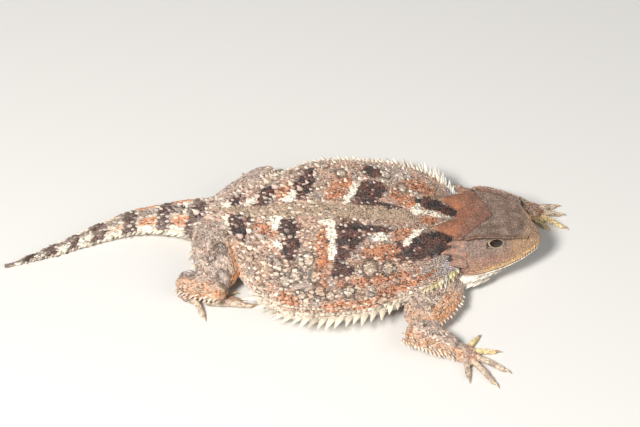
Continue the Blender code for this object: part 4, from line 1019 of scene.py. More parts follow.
def scattered(hide, mask, spacing, seed):
    """Roots on the hide where mask is 1, no two closer than the spacing, by Blender's Poisson distribution."""
    area = hide.data.attributes.new("area", "FLOAT", "POINT")
    area.data.foreach_set("value", mask.astype(np.float32))
    tree = bpy.data.node_groups.new("scatter", "GeometryNodeTree")
    tree.interface.new_socket("Geometry", in_out="INPUT", socket_type="NodeSocketGeometry")
    tree.interface.new_socket("Geometry", in_out="OUTPUT", socket_type="NodeSocketGeometry")
    nodes, link = tree.nodes, tree.links.new
    source, target = nodes.new("NodeGroupInput"), nodes.new("NodeGroupOutput")
    share = nodes.new("GeometryNodeInputNamedAttribute")
    share.data_type = "FLOAT"
    share.inputs["Name"].default_value = "area"
    spread = nodes.new("GeometryNodeDistributePointsOnFaces")
    spread.distribute_method = "POISSON"
    spread.inputs["Distance Min"].default_value = spacing * MM
    spread.inputs["Density Max"].default_value = 9.0 / (spacing * MM) ** 2
    spread.inputs["Seed"].default_value = seed
    keep = nodes.new("GeometryNodeStoreNamedAttribute")
    keep.data_type = "FLOAT_VECTOR"
    keep.domain = "POINT"
    keep.inputs["Name"].default_value = "outward"
    turn = nodes.new("GeometryNodePointsToVertices")
    link(source.outputs[0], spread.inputs["Mesh"])
    link(share.outputs["Attribute"], spread.inputs["Density Factor"])
    link(spread.outputs["Points"], keep.inputs["Geometry"])
    link(spread.outputs["Normal"], keep.inputs["Value"])
    link(keep.outputs["Geometry"], turn.inputs["Points"])
    link(turn.outputs["Mesh"], target.inputs[0])
    change = hide.modifiers.new("scatter", "NODES")
    change.node_group = tree
    made = hide.evaluated_get(bpy.context.evaluated_depsgraph_get()).to_mesh()
    points = np.empty(len(made.vertices) * 3, np.float32)
    made.vertices.foreach_get("co", points)
    normals = np.empty(len(made.vertices) * 3, np.float32)
    made.attributes["outward"].data.foreach_get("vector", normals)
    hide.modifiers.remove(change)
    bpy.data.node_groups.remove(tree)
    hide.data.attributes.remove(hide.data.attributes["area"])
    return points.reshape(-1, 3) / MM, unit(normals.reshape(-1, 3).astype(float))


def clear_of(points, others, reach):
    """True for each point that is further than reach from every other point."""
    clear = np.ones(len(points), bool)
    reach = np.broadcast_to(reach, len(others))
    for chunk in np.array_split(np.arange(len(points)), max(1, len(points) // 2000)):
        gaps = np.linalg.norm(points[chunk][:, None] - others[None], axis=-1)
        clear[chunk] = (gaps > reach).all(axis=1)
    return clear


def hide_material(name, roughness, bump):
    """Colour from the pieces' attribute of markings with painted shade and highlight, mottled a little and grained
    with fine bump, all from Object coordinates.
    """
    made = bpy.data.materials.new(name)
    made.use_nodes = True
    nodes, link = made.node_tree.nodes, made.node_tree.links.new
    shader = nodes["Principled BSDF"]
    shader.inputs["Roughness"].default_value = roughness
    shader.inputs["Specular IOR Level"].default_value = 0.35
    marking = nodes.new("ShaderNodeAttribute")
    marking.attribute_name = "MarkingAndPaintedLight"
    where = nodes.new("ShaderNodeTexCoord")
    mottle = nodes.new("ShaderNodeTexNoise")
    mottle.inputs["Scale"].default_value = 2600.0
    mottle.inputs["Detail"].default_value = 4.0
    level = nodes.new("ShaderNodeMapRange")
    level.inputs["From Min"].default_value = 0.3
    level.inputs["From Max"].default_value = 0.7
    level.inputs["To Min"].default_value = 0.82
    level.inputs["To Max"].default_value = 1.12
    tint = nodes.new("ShaderNodeMix")
    tint.data_type = "RGBA"
    tint.blend_type = "MULTIPLY"
    tint.inputs["Factor"].default_value = 1.0
    grain = nodes.new("ShaderNodeTexNoise")
    grain.inputs["Scale"].default_value = 5200.0
    grain.inputs["Detail"].default_value = 3.0
    lift = nodes.new("ShaderNodeBump")
    lift.inputs["Strength"].default_value = bump
    lift.inputs["Distance"].default_value = 0.00008
    link(where.outputs["Object"], mottle.inputs["Vector"])
    link(where.outputs["Object"], grain.inputs["Vector"])
    link(mottle.outputs["Fac"], level.inputs["Value"])
    link(marking.outputs["Color"], tint.inputs["A"])
    link(level.outputs["Result"], tint.inputs["B"])
    link(tint.outputs["Result"], shader.inputs["Base Color"])
    link(grain.outputs["Fac"], lift.inputs["Height"])
    link(lift.outputs["Normal"], shader.inputs["Normal"])
    return made


def settled(obj, slot, *nodes):
    """Sets a piece on the root body and hides the nodes it stands for; slot is not used."""
    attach(obj, "root")
    if nodes:
        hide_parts(*nodes)
    return obj


def eye_frame(hand):
    """Centre, outward, forward and upward directions of one eye, which looks to the side and a little ahead."""
    centre = from_head(EYE_SPOT[0], hand * EYE_SPOT[1], EYE_SPOT[2])
    out = head_direction(-0.22, hand, 0.12)
    ahead = head_direction(-1, 0, 0)
    ahead = unit(ahead - out * (ahead @ out))
    up = np.cross(out, ahead) * -hand
    return centre, out, ahead, up * np.sign(up[2])


def lid_point(hand, turn, share):
    """The lids as a ring round the eye: share 0 is sunk in the hide, 1 is the rim, and over 1 turns under it.

    Its outline runs from an ellipse to an almond, and its height over the eye from the hide's to the ball's.
    """
    centre, out, ahead, up = eye_frame(hand)
    turn, share = np.broadcast_arrays(turn, share)
    inner = np.clip(share, 0, 1)
    c, s = np.cos(turn), np.sin(turn)
    almond = np.abs(s) ** 1.25 * np.sign(s)
    p = c * (LID_REACH[0] + (EYE_OPENING[0] - LID_REACH[0]) * inner)
    q = s * LID_REACH[1] * (1 - inner) + almond * EYE_OPENING[1] * inner - 0.1
    over = np.maximum(share - 1, 0)
    ball = np.sqrt(np.maximum((EYE_RADIUS + 0.06) ** 2 - p * p - q * q, 0.2))
    depth = ball * inner ** 0.8 + 1.1 * (1 - inner ** 0.8)
    depth = depth + 0.42 * np.sin(math.pi * np.clip(share, 0, 1) ** 1.4) ** 0.8 * step(0, 0.3, share) - 1.2 * over
    depth = depth + 0.14 * step(0.7, 1.0, inner) - 0.14 * step(1.0, 1.3, share)
    grow = 1 + 0.5 * over
    return centre + out * depth[..., None] + ahead * (p * grow)[..., None] + up * (q * grow)[..., None]


def build_eyes(eye_material, lid_material, hide_skin):
    """Eyeballs as spheres from two angles, lids as closed rings, and a row of bead scales on each lid."""
    made = []
    for hand, word in ((1, "l"), (-1, "r")):
        centre, out, ahead, up = eye_frame(hand)
        polar = np.linspace(0.02, math.pi - 0.02, 40)[:, None, None]
        turn = np.linspace(0, 2 * math.pi, 48, endpoint=False)[None, :, None]
        ball = centre + EYE_RADIUS * (out * np.cos(polar) + np.sin(polar)
                                      * (ahead * np.cos(turn) + up * np.sin(turn)))
        points, faces = lofted(ball)
        eye = mesh_piece("eyeball_" + word, points, outward(points - centre, faces), eye_material)
        settled(eye, "eye", "eye_" + word)
        turn = np.linspace(0, 2 * math.pi, 72, endpoint=False)
        shares = np.array([0.0, 0.12, 0.25, 0.4, 0.55, 0.7, 0.82, 0.92, 1.0, 1.06, 1.2])
        grid = lid_point(hand, turn[None, :], shares[:, None])
        under = grid[[-1, 0]] - out * 0.5
        grid = np.concatenate([grid, under[:1] * 0.5 + grid[-1:] * 0.5 - out * 0.1, under[1:]])
        count, around = grid.shape[:2]
        i, j = np.meshgrid(np.arange(count), np.arange(around), indexing="ij")
        i2, j2 = (i + 1) % count, (j + 1) % around
        quads = np.stack([i * around + j, i * around + j2, i2 * around + j2, i2 * around + j], axis=-1)
        points = grid.reshape(-1, 3)
        quads = quads.reshape(-1, 4)
        tri = np.concatenate([quads[:, :3], quads[:, [0, 2, 3]]])
        tri = outward(points - centre, tri)
        lid = mesh_piece("lids_" + word, points, tri, lid_material)
        settled(lid, "head_hide")
        share = np.repeat(np.concatenate([shares, [1.2, 0.0]]), around)
        tone = painted(tinted(LID, len(points)), LID_RIM, step(0.7, 0.95, share))
        # Painted shade in the fold where the lid meets the hide, and painted shadow of the brow over the upper lid.
        tone = painted(tone, CREASE_SHADE, step(0.5, 0.25, share))
        tone = painted(tone, CROWN, 0.75 * step(0.1, 0.7, np.tile(np.sin(turn), len(share) // around)))
        set_colours(lid, tone)
        rows = []
        for level, beads, size in ((0.93, 40, 0.12), (0.76, 42, 0.14), (0.58, 44, 0.15), (0.2, 44, 0.17)):
            turn = (np.arange(beads) + 0.5 * (level < 0.8)) / beads * 2 * math.pi
            spot = lid_point(hand, turn, level)
            near = lid_point(hand, turn, level + 0.04) - lid_point(hand, turn, level - 0.04)
            round_ = lid_point(hand, turn + 0.05, level) - lid_point(hand, turn - 0.05, level)
            normal = unit(np.cross(round_, near))
            normal *= np.sign((normal @ out))[:, None]
            rows.append((spot, normal, unit(round_), np.full(beads, size), np.sin(turn)))
        spot, normal, along, size, raised = (np.concatenate(v) for v in zip(*rows))
        at = Places(spot)
        colour = painted(tinted(LID, len(spot)), LID_RIM, step(0.15, 0.13, size))
        colour = painted(colour, CHEEK, step(0.155, 0.165, size))
        # Painted shadow of the brow over the upper beads.
        colour = painted(colour, CROWN, 0.75 * step(0.1, 0.7, raised))
        beads = coat_piece("lid_beads_" + word, [granule_form()], at, normal, size * 1.25, size * 1.05,
                           np.full(len(size), 0.09), hide_skin, lies=along, colour=colour, is_smooth=True, pale=0.2)
        settled(beads, "head_hide")
        made.append(beads)
    return made


def horn_point(name, hand, share, turn):
    """A horn's surface: flattened rings along an axis that arches a little, ridged where it grew, to a point."""
    root, tip, width, thickness = HORNS[name]
    share, turn = np.broadcast_arrays(np.asarray(share, float), np.asarray(turn, float))
    root_at = from_head(root[0], hand * root[1], root[2])
    tip_at = from_head(tip[0], hand * tip[1], tip[2])
    lean = unit(tip_at - root_at)
    across = unit(np.cross(lean, (0, 0, 1.0)))
    taper = np.clip(1 - share ** 1.25, 0, 1) ** 0.9
    ridges = 1 + 0.045 * np.sin(share * 2 * math.pi * 7) * (1 - share) * step(0.1, 0.3, share)
    rough = 1 + 0.04 * np.sin(5 * turn + 1.3) + 0.03 * np.sin(9 * turn + 4 * share)
    wide = width * taper * ridges * rough * np.cos(turn)
    high = thickness * taper * ridges * rough * np.sin(turn)
    lift = 0.3 * np.sin(share * math.pi) - 0.25 * share ** 3
    return (root_at + (tip_at - root_at) * share[..., None] + np.array([0, 0, 1.0]) * (lift + 0 * share)[..., None]
            + across * wide[..., None] + np.cross(across, lean) * high[..., None])


def horn_tone(name, points, share):
    """Brown horn with warmer patches and a paler point. The lower horns take the cheek's grey and pink."""
    high = "occipital" in name
    start, warm, tip = ((142, 99, 79), SHIELD_WARM, (206, 160, 118)) if high else (CHEEK, BLUSH, (206, 158, 128))
    tone = painted(tinted(start, len(points)), warm, 0.35 + 0.4 * waves(points, 1.7, 40) + 0.25 * share)
    tone = painted(tone, (112, 80, 66), 0.35 * step(0.3, 0.8, share) * step(1.0, 0.85, share))
    return painted(tone, tip, 0.7 * step(0.72, 1.0, share))


def build_horns(material, scale_material):
    """Each horn with its ridges, and small scales that run from the head over its root."""
    roots, normals, lies, sizes, tones = [], [], [], [], []
    for name, (root, tip, width, thickness) in HORNS.items():
        for hand, word in ((1, "l"), (-1, "r")):
            share = np.linspace(0, 1, 34)
            turn = np.linspace(0, 2 * math.pi, 28, endpoint=False)
            points, faces = lofted(horn_point(name, hand, share[:, None], turn))
            start = points[:28].mean(axis=0)
            horn = mesh_piece(name.replace("horn_", "") + "_horn_" + word, points, outward(points - start, faces),
                              material)
            set_colours(horn, horn_tone(name, points, np.concatenate([np.repeat(share, 28), [0, 1]])))
            settled(horn, "horn", f"{name}_{word}")
            reach = np.linalg.norm(np.subtract(tip, root))
            count = int(reach * width * 26)
            share = RNG.random(count) ** 1.2 * 0.9
            turn = RNG.uniform(0, 2 * math.pi, count)
            spot = horn_point(name, hand, share, turn)
            ahead = horn_point(name, hand, share + 0.01, turn) - spot
            normal = unit(np.cross(horn_point(name, hand, share, turn + 0.02) - spot, ahead))
            middle = horn_point(name, hand, share, 0.0) / 2 + horn_point(name, hand, share, math.pi) / 2
            normal *= np.sign(((spot - middle) * normal).sum(-1, keepdims=True))
            roots.append(spot)
            normals.append(normal)
            lies.append(unit(ahead))
            sizes.append(0.25 * (1 - 0.35 * share) * RNG.uniform(0.8, 1.15, count))
            tones.append(horn_tone(name, spot, share))
    roots, normals, lies, sizes, tones = (np.concatenate(v) for v in (roots, normals, lies, sizes, tones))
    keep = apart(roots, 0.29)
    obj = coat_piece("horn_scales", [grain_form()], Places(roots[keep]), normals[keep], sizes[keep] * 1.2, sizes[keep],
                     sizes[keep] * 0.42, scale_material, lies=lies[keep], colour=tones[keep], pale=0.2,
                     is_smooth=True)
    settled(obj, "horn")


def apart(points, reach):
    """True for points of which no earlier kept one lies within reach."""
    gaps = np.linalg.norm(points[:, None] - points[None], axis=-1)
    close = np.tril(gaps < reach, -1)
    keep = np.ones(len(points), bool)
    for i in np.flatnonzero(close.any(axis=1)):
        keep[i] = not (close[i] & keep).any()
    return keep


def build_claws(material):
    """A curved cone on every digit: rings that shrink along an arc towards the floor."""
    parts = []
    for limb in LIMBS.values():
        for start, stop, width in limb["digits"]:
            stop = np.array(stop)
            ahead = unit(stop - np.array(start))
            share = np.linspace(0, 1, 12)
            turn = np.linspace(0, 2 * math.pi, 12, endpoint=False)
            drop = width + 0.1 + 0.25 * np.sin(share * math.pi * 0.8) - 0.62 * share ** 1.6
            line = np.column_stack([stop + ahead * (-0.5 + (CLAW_LENGTH + 0.3) * share[:, None]), drop])
            girth = 0.34 * (1 - share ** 1.4) + 0.02
            side = np.array([-ahead[1], ahead[0], 0.0])
            ring = side * np.cos(turn)[:, None] * 0.8 + np.array([0, 0, 1.0]) * np.sin(turn)[:, None]
            grid = line[:, None] + ring[None] * girth[:, None, None]
            points, faces = lofted(grid)
            parts.append((points, outward(points - points.mean(axis=0), faces)))
    points, faces = joined(parts)
    points[:, 2] = np.maximum(points[:, 2], 0.05)
    claws = mesh_piece("claws", points, faces, material)
    set_colours(claws, painted(tinted((216, 194, 162), len(points)), (168, 140, 112),
                               0.4 + 0.4 * waves(points, 1.0, 41)))
    settled(claws, "limb_hide")


def trunk_roots(x, degrees):
    """Places, normals and backward directions on the trunk's hide at given x and angles."""
    station, angle = station_at(x), np.radians(degrees)
    normal, back = trunk_directions(station, angle)
    return trunk_point(station, angle, COAT), normal, back


def build_fringe(material):
    """The flat spines along each flank and tail edge, each leaning out and backwards."""
    rows = []
    for near, first, last, degrees in ((False, 31.0, -17.5, 2.0), (True, 20.5, -15.5, 178.0)):
        x = np.arange(first, last, -1.95)
        size = 0.6 + 0.4 * step(first, first - 7, x) if near else 0.45 + 0.55 * step(first, first - 11, x)
        rows.append((x, degrees, size * (3.8 if near else 2.6), size * 1.5, size * 0.75, 0.62, -0.22 if near else -0.06))
        x = np.arange(first + 0.8, last, -1.2)
        rows.append((x, degrees + (-9.0 if near else 9.0), 1.4, 0.95, 0.6, 0.9, 0.1))
        x = np.arange(first + 0.3, last, -1.0)
        rows.append((x, degrees + (-16.0 if near else 16.0), 1.0, 0.75, 0.5, 1.0, 0.1))
    for degrees in (0.0, 180.0):
        x = np.arange(-19.0, -74.0, -1.5)
        size = 0.4 + 0.6 * step(-76, -30, x)
        rows.append((x, degrees, size * 1.9, size * 1.15, size * 0.7, 0.85, 0.05))
    table = np.concatenate([np.stack(np.broadcast_arrays(*row), axis=-1) for row in rows])
    x, degrees, long_, wide, high, lean_back, lift = table.T
    x = x + RNG.uniform(-0.2, 0.2, len(x))
    root, normal, back = trunk_roots(x, degrees)
    vary = RNG.uniform(0.85, 1.12, len(x))
    lean = unit(normal + back * (lean_back * RNG.uniform(0.85, 1.2, len(x)))[:, None]
                + np.array([0, 0, 1.0]) * lift[:, None])
    at = Places(root)
    keep = (at.limb_away > 0.9) & ~((at.head_away < 0.3) & (at.back < 19))
    at = Places(root[keep])
    colour = painted(hide_colour(at), (240, 230, 210), 0.8)
    obj = coat_piece("fringe_spines", [blade_form()], at, level_up(lean[keep]), (long_ * vary)[keep],
                     (wide * vary)[keep], high[keep], material, lies=lean[keep], colour=colour)
    settled(obj, "hide")
    return root[keep], wide[keep] * 0.5


def level_up(lean):
    """The most upright direction at right angles to each lean."""
    return unit(np.cross(lean, np.cross(np.array([0, 0, 1.0]), lean)))


def build_neck_folds(material):
    """Rows of yellow and cream pointed scales along the fold on each side of the neck, over the shoulder."""
    roots, leans, sizes = [], [], []
    for hand, degrees in ((-1, 176.0), (1, 4.0)):
        for drop, first, last, pitch, size in ((0.0, 32.6, 24.4, 0.85, 1.0), (8.0, 33.0, 25.0, 0.8, 0.62),
                                               (-7.0, 32.4, 26.6, 0.9, 0.75)):
            x = np.arange(first, last, -pitch) + RNG.uniform(-0.15, 0.15, len(np.arange(first, last, -pitch)))
            root, normal, back = trunk_roots(x, degrees + hand * drop)
            grow = size * (0.6 + 0.4 * np.sin(np.linspace(0.3, math.pi - 0.3, len(x)))) * RNG.uniform(0.85, 1.15, len(x))
            roots.append(root + normal * 0.1)
            leans.append(unit(normal + back * 0.95 + np.array([0, 0, 0.16 + 0.01 * drop])))
            sizes.append(grow)
    roots, leans, sizes = (np.concatenate(v) for v in (roots, leans, sizes))
    at = Places(roots)
    keep = (at.head_away > 0.2) | (at.back > 19.6)
    at = Places(roots[keep])
    tone = painted(tinted(FOLD_YELLOW, keep.sum()), FOLD_WHITE, step(0.1, 1.0, waves(roots[keep], 2.0, 51)))
    tone = painted(tone, FOLD_WHITE, step(60, 30, at.angle))
    obj = coat_piece("neck_fold_spines", [blade_form()], at, level_up(leans[keep]), sizes[keep] * 3.1,
                     sizes[keep] * 1.0, sizes[keep] * 0.7, material, lies=leans[keep], colour=tone, pale=0.8)
    settled(obj, "hide")
    return roots[keep]


def build_spines(material):
    """Raised spines of the back in loose rows, pale in the dark markings, with smaller ones between."""
    x, degrees, size = [], [], []
    rows = [(14, 18, -14, 3.4, 0.75), (24, 20, -15, 3.6, 0.9), (34, 21, -17, 3.3, 0.95), (45, 22, -19, 3.4, 1.05),
            (56, 22, -22, 3.2, 1.05), (66, 21, -27, 3.3, 1.1), (76, 20, -33, 3.5, 1.05), (84, 16, -38, 4.2, 0.7)]
    for number, (angle, first, last, pitch, girth) in enumerate(rows):
        for hand in (0, 1):
            line = np.arange(first - pitch * 0.5 * (number % 2), last, -pitch)
            x.append(line + RNG.uniform(-0.8, 0.8, len(line)))
            turn = angle + RNG.uniform(-3.6, 3.6, len(line))
            degrees.append(180 - turn if hand else turn)
            size.append(girth * RNG.uniform(0.7, 1.2, len(line)))
    x, degrees, size = np.concatenate(x), np.concatenate(degrees), np.concatenate(size)
    near = step(4, -8, x)
    size = size * (0.72 + 0.38 * near)
    root, normal, back = trunk_roots(x, degrees)
    at = Places(root)
    keep = (at.limb_away > 0.8) & (at.head_away > 1.0)
    root, normal, back, size = root[keep], normal[keep], back[keep], size[keep]
    at = Places(root)
    colour = hide_colour(at)
    dark = spots(DARK_SPOTS, at.x, at.angle, np.zeros(len(size)))
    colour = painted(colour, (222, 196, 182), 0.8 * dark * (RNG.random(len(size)) < 0.5))
    colour = painted(colour, CREAM, 0.55 * (1 - dark) * (RNG.random(len(size)) < 0.7))
    obj = coat_piece("back_spines", [cone_form(), stud_form()], at, normal, size * 0.66, size * 0.6, size * 0.6,
                     material, lies=back, colour=colour, pale=0.45, kind=RNG.integers(0, 2, len(size)))
    settled(obj, "hide")
    return root, normal, back, size * 0.62


def build_thorns(hide, mask, taken, reach, material):
    """Short raised scales strewn between the rows, with pale points, denser towards the hips and tail."""
    roots, normals = scattered(hide, mask.astype(float), 1.12, 12)
    keep = clear_of(roots, taken, reach * 1.7)
    at = Places(roots)
    keep &= RNG.random(len(roots)) < 0.4 + 0.4 * step(8, -6, at.x) - 0.3 * (np.abs(at.angle - 92) < 5)
    roots, normals = roots[keep], normals[keep]
    at = Places(roots)
    count = len(roots)
    size = RNG.uniform(0.3, 0.52, count) * (1 + 0.25 * step(4, -10, at.x))
    colour = hide_colour(at, RNG.normal(0, 0.1, count))
    colour = painted(colour, CREAM, 0.62 * (RNG.random(count) < 0.48))
    obj = coat_piece("thorn_scales", [stud_form(), keeled_form(), cone_form()], at, normals, size * 1.15, size * 0.78,
                     size * 0.72, material, lies=unit(at.lie + RNG.normal(0, 0.2, (count, 3))), colour=colour,
                     pale=0.5, kind=RNG.integers(0, 3, count))
    settled(obj, "hide")
    return roots, size * 0.8


def build_rosettes(roots, normals, backs, reach, material):
    """A ring of seven rounder scales about the foot of every large spine."""
    count = 7
    turn = np.linspace(0, 2 * math.pi, count, endpoint=False) + RNG.uniform(0, 6.3, (len(roots), 1))
    x = unit(backs - normals * (backs * normals).sum(-1, keepdims=True))
    y = np.cross(normals, x)
    out = x[:, None] * np.cos(turn)[..., None] + y[:, None] * np.sin(turn)[..., None]
    big = (reach * 1.15)[:, None] * RNG.uniform(0.95, 1.1, turn.shape)
    spot = (roots[:, None] + out * big[..., None]).reshape(-1, 3)
    size = np.repeat(reach * 0.5, count) * RNG.uniform(0.8, 1.15, len(spot))
    obj = coat_piece("rosette_scales", [grain_form()], Places(spot), np.repeat(normals, count, axis=0), size, size * 0.86,
                     size * 0.5, material, lies=out.reshape(-1, 3), pale=0.3)
    settled(obj, "hide")


def build_brows(material):
    """Scales in a row along each brow, which overhang the eye, and a smaller row above them."""
    rows = []
    for hand in (1, -1):
        for inset, drop, size, first, last, pitch in ((0.0, 0.1, 0.46, 3.0, 17.2, 0.4),
                                                      (0.5, 0.0, 0.34, 2.6, 16.0, 0.38)):
            back = np.arange(first, last, pitch)
            row = smooth(back, HEAD_STATIONS[:, 0], HEAD_STATIONS)
            spot = from_head(back, hand * (row[:, 2] - inset), row[:, 3] - drop)
            lean = head_direction(0.35, hand * 1.0, 0.04) + 0 * spot
            grow = size * (0.7 + 0.3 * step(3, 8, back)) * RNG.uniform(0.88, 1.1, len(back))
            rows.append((spot, lean, grow))
    spot, lean, grow = (np.concatenate(v) for v in zip(*rows))
    up = unit(np.cross(lean, np.cross(np.array([0, 0, 1.0]), lean)))
    at = Places(spot)
    colour = painted(tinted((122, 96, 82), len(spot)), SHIELD, step(13.0, 15.5, at.back))
    colour = painted(colour, MUZZLE, step(6.5, 3.0, at.back))
    obj = coat_piece("brow_scales", [keeled_form()], at, up, grow, grow * 0.78, grow * 0.5, material, lies=unit(lean),
                     colour=colour, pale=0.3)
    settled(obj, "head_hide")


def build_jaw(material):
    """Rows along the mouth and jaw: upper and lower lip scales, and pointed scales on the jaw's edge."""
    rows = []
    for hand in (1, -1):
        for lift, sink, size, count, last in ((0.2, 0.0, 0.33, 29, 15.4), (-0.62, 0.08, 0.33, 29, 15.0),
                                              (0.68, 0.08, 0.3, 30, 15.6)):
            back = np.linspace(0.5, last, count)
            row = smooth(back, HEAD_STATIONS[:, 0], HEAD_STATIONS)
            spot = from_head(back, hand * (row[:, 6] - sink), row[:, 7] + lift)
            ahead = smooth(back + 0.2, HEAD_STATIONS[:, 0], HEAD_STATIONS)
            along = unit(from_head(back + 0.2, hand * ahead[:, 6], ahead[:, 7]) - from_head(back, hand * row[:, 6], row[:, 7]))
            out = unit(np.cross(along, (0, 0, 1.0)) * hand)
            out *= np.sign((out * (spot - from_head(10.0, 0, 8.0))).sum(-1, keepdims=True))
            rows.append((spot, out, along, np.full(count, size), np.full(count, lift)))
    spot, out, along, size, lift = (np.concatenate(v) for v in zip(*rows))
    at = Places(spot)
    colour = np.where((lift < 0)[:, None], np.array(JAW, float), np.array(LIP, float))
    colour = painted(colour, BLUSH, step(11, 15, at.back) * (lift > 0))
    colour = painted(colour, ORANGE, 0.25 * step(0, 1.5, waves(spot, 1.5, 50)) * (lift > 0))
    lips = coat_piece("lip_scales", [granule_form()], at, out, size * 1.12, size * 0.8, np.full(len(size), 0.18),
                      material, lies=along, colour=colour, is_smooth=True)
    settled(lips, "head_hide")
    rows = []
    for hand in (1, -1):
        for drop, outset, count, scale, first in ((0.1, 0.1, 14, 1.0, 6.5), (-0.75, 0.3, 13, 0.85, 7.0),
                                                  (-1.5, 0.2, 11, 1.15, 11.0), (0.6, -0.1, 8, 0.8, 13.5)):
            back = np.linspace(first, 18.9, count)
            row = smooth(back, HEAD_STATIONS[:, 0], HEAD_STATIONS)
            spot = from_head(back, hand * (row[:, 8] - 0.35 - outset), row[:, 9] + 0.35 + drop)
            lean = head_direction(0.95, hand * 1.0, -0.3) + 0 * spot
            grow = scale * (0.35 + 0.85 * step(6, 15, back)) * RNG.uniform(0.85, 1.15, count)
            rows.append((spot, lean, grow))
    spot, lean, grow = (np.concatenate(v) for v in zip(*rows))
    up = unit(np.cross(lean, np.cross(np.array([0, 0, 1.0]), lean)))
    at = Places(spot)
    colour = tinted((236, 228, 214), len(spot))
    jaw = coat_piece("jaw_spines", [blade_form()], at, up, grow * 2.0, grow * 1.15, grow * 0.6, material,
                     lies=unit(lean), colour=colour)
    settled(jaw, "head_hide")
    return spot


def limb_spine_roots():
    """Roots of pointed scales along the limbs' edges: limb, length, share from and to, turn and size."""
    rows = [
        (0, 0, 0.34, 0.95, 180, 0.8, 0.7), (0, 0, 0.4, 0.98, 200, 0.8, 0.55), (0, 1, 0.06, 0.95, 0, 0.75, 0.72),
        (0, 1, 0.02, 0.95, -22, 0.8, 0.6), (0, 1, 0.02, 0.95, 20, 0.85, 0.6), (0, 1, 0.1, 0.9, 40, 1.0, 0.45),
        (0, 0, 0.7, 0.98, 0, 1.0, 0.6), (1, 1, 0.1, 0.9, 180, 0.9, 0.7), (1, 0, 0.4, 0.95, 0, 0.9, 0.6),
        (2, 0, 0.4, 0.96, 0, 1.3, 1.0), (2, 0, 0.35, 0.92, 22, 1.2, 0.75), (2, 1, 0.1, 0.9, 180, 0.9, 0.75),
        (2, 1, 0.1, 0.9, 205, 1.0, 0.6), (3, 1, 0.1, 0.9, 0, 1.1, 0.8), (3, 0, 0.5, 0.95, 180, 1.3, 0.8),
    ]
    found = []
    for index, number, first, last, turn, pitch, size in rows:
        path, widths, heights = limb_paths(list(LIMBS.values())[index], COAT, DIGIT_COAT)[number]
        length = np.linalg.norm(np.diff(path, axis=0), axis=1).sum()
        count = max(2, int((last - first) * length / pitch))
        at = np.linspace(first, last, count) * (len(path) - 1)
        numbers = np.arange(len(path), dtype=float)
        centre, along, side, up = tube_frame(path, at)
        angle = np.radians(turn + RNG.uniform(-7, 7, count))[:, None]
        wide, high = smooth(at, numbers, widths)[:, None], smooth(at, numbers, heights)[:, None]
        root = centre + side * np.cos(angle) * wide + up * np.sin(angle) * high
        normal = unit(side * np.cos(angle) / wide + up * np.sin(angle) / high)
        found.append((root, normal, along, size * RNG.uniform(0.8, 1.15, count)))
    return [np.concatenate(v) for v in zip(*found)]


def build_limb_spines(material):
    """Pointed scales that stand out from the edges of the limbs."""
    root, normal, along, size = limb_spine_roots()
    lean = unit(normal + along * 0.8)
    up = unit(np.cross(lean, np.cross(np.array([0, 0, 1.0]), lean)))
    at = Places(root)
    keep = (at.trunk_away > 1.5) & (at.head_away > 0.5)
    at = Places(root[keep])
    colour = painted(hide_colour(at), (240, 226, 206), 0.65)
    obj = coat_piece("limb_spines", [blade_form()], at, up[keep], (size * 1.65)[keep], (size * 1.0)[keep],
                     (size * 0.62)[keep], material, lies=lean[keep], colour=colour)
    settled(obj, "limb_hide")
    return root[keep]


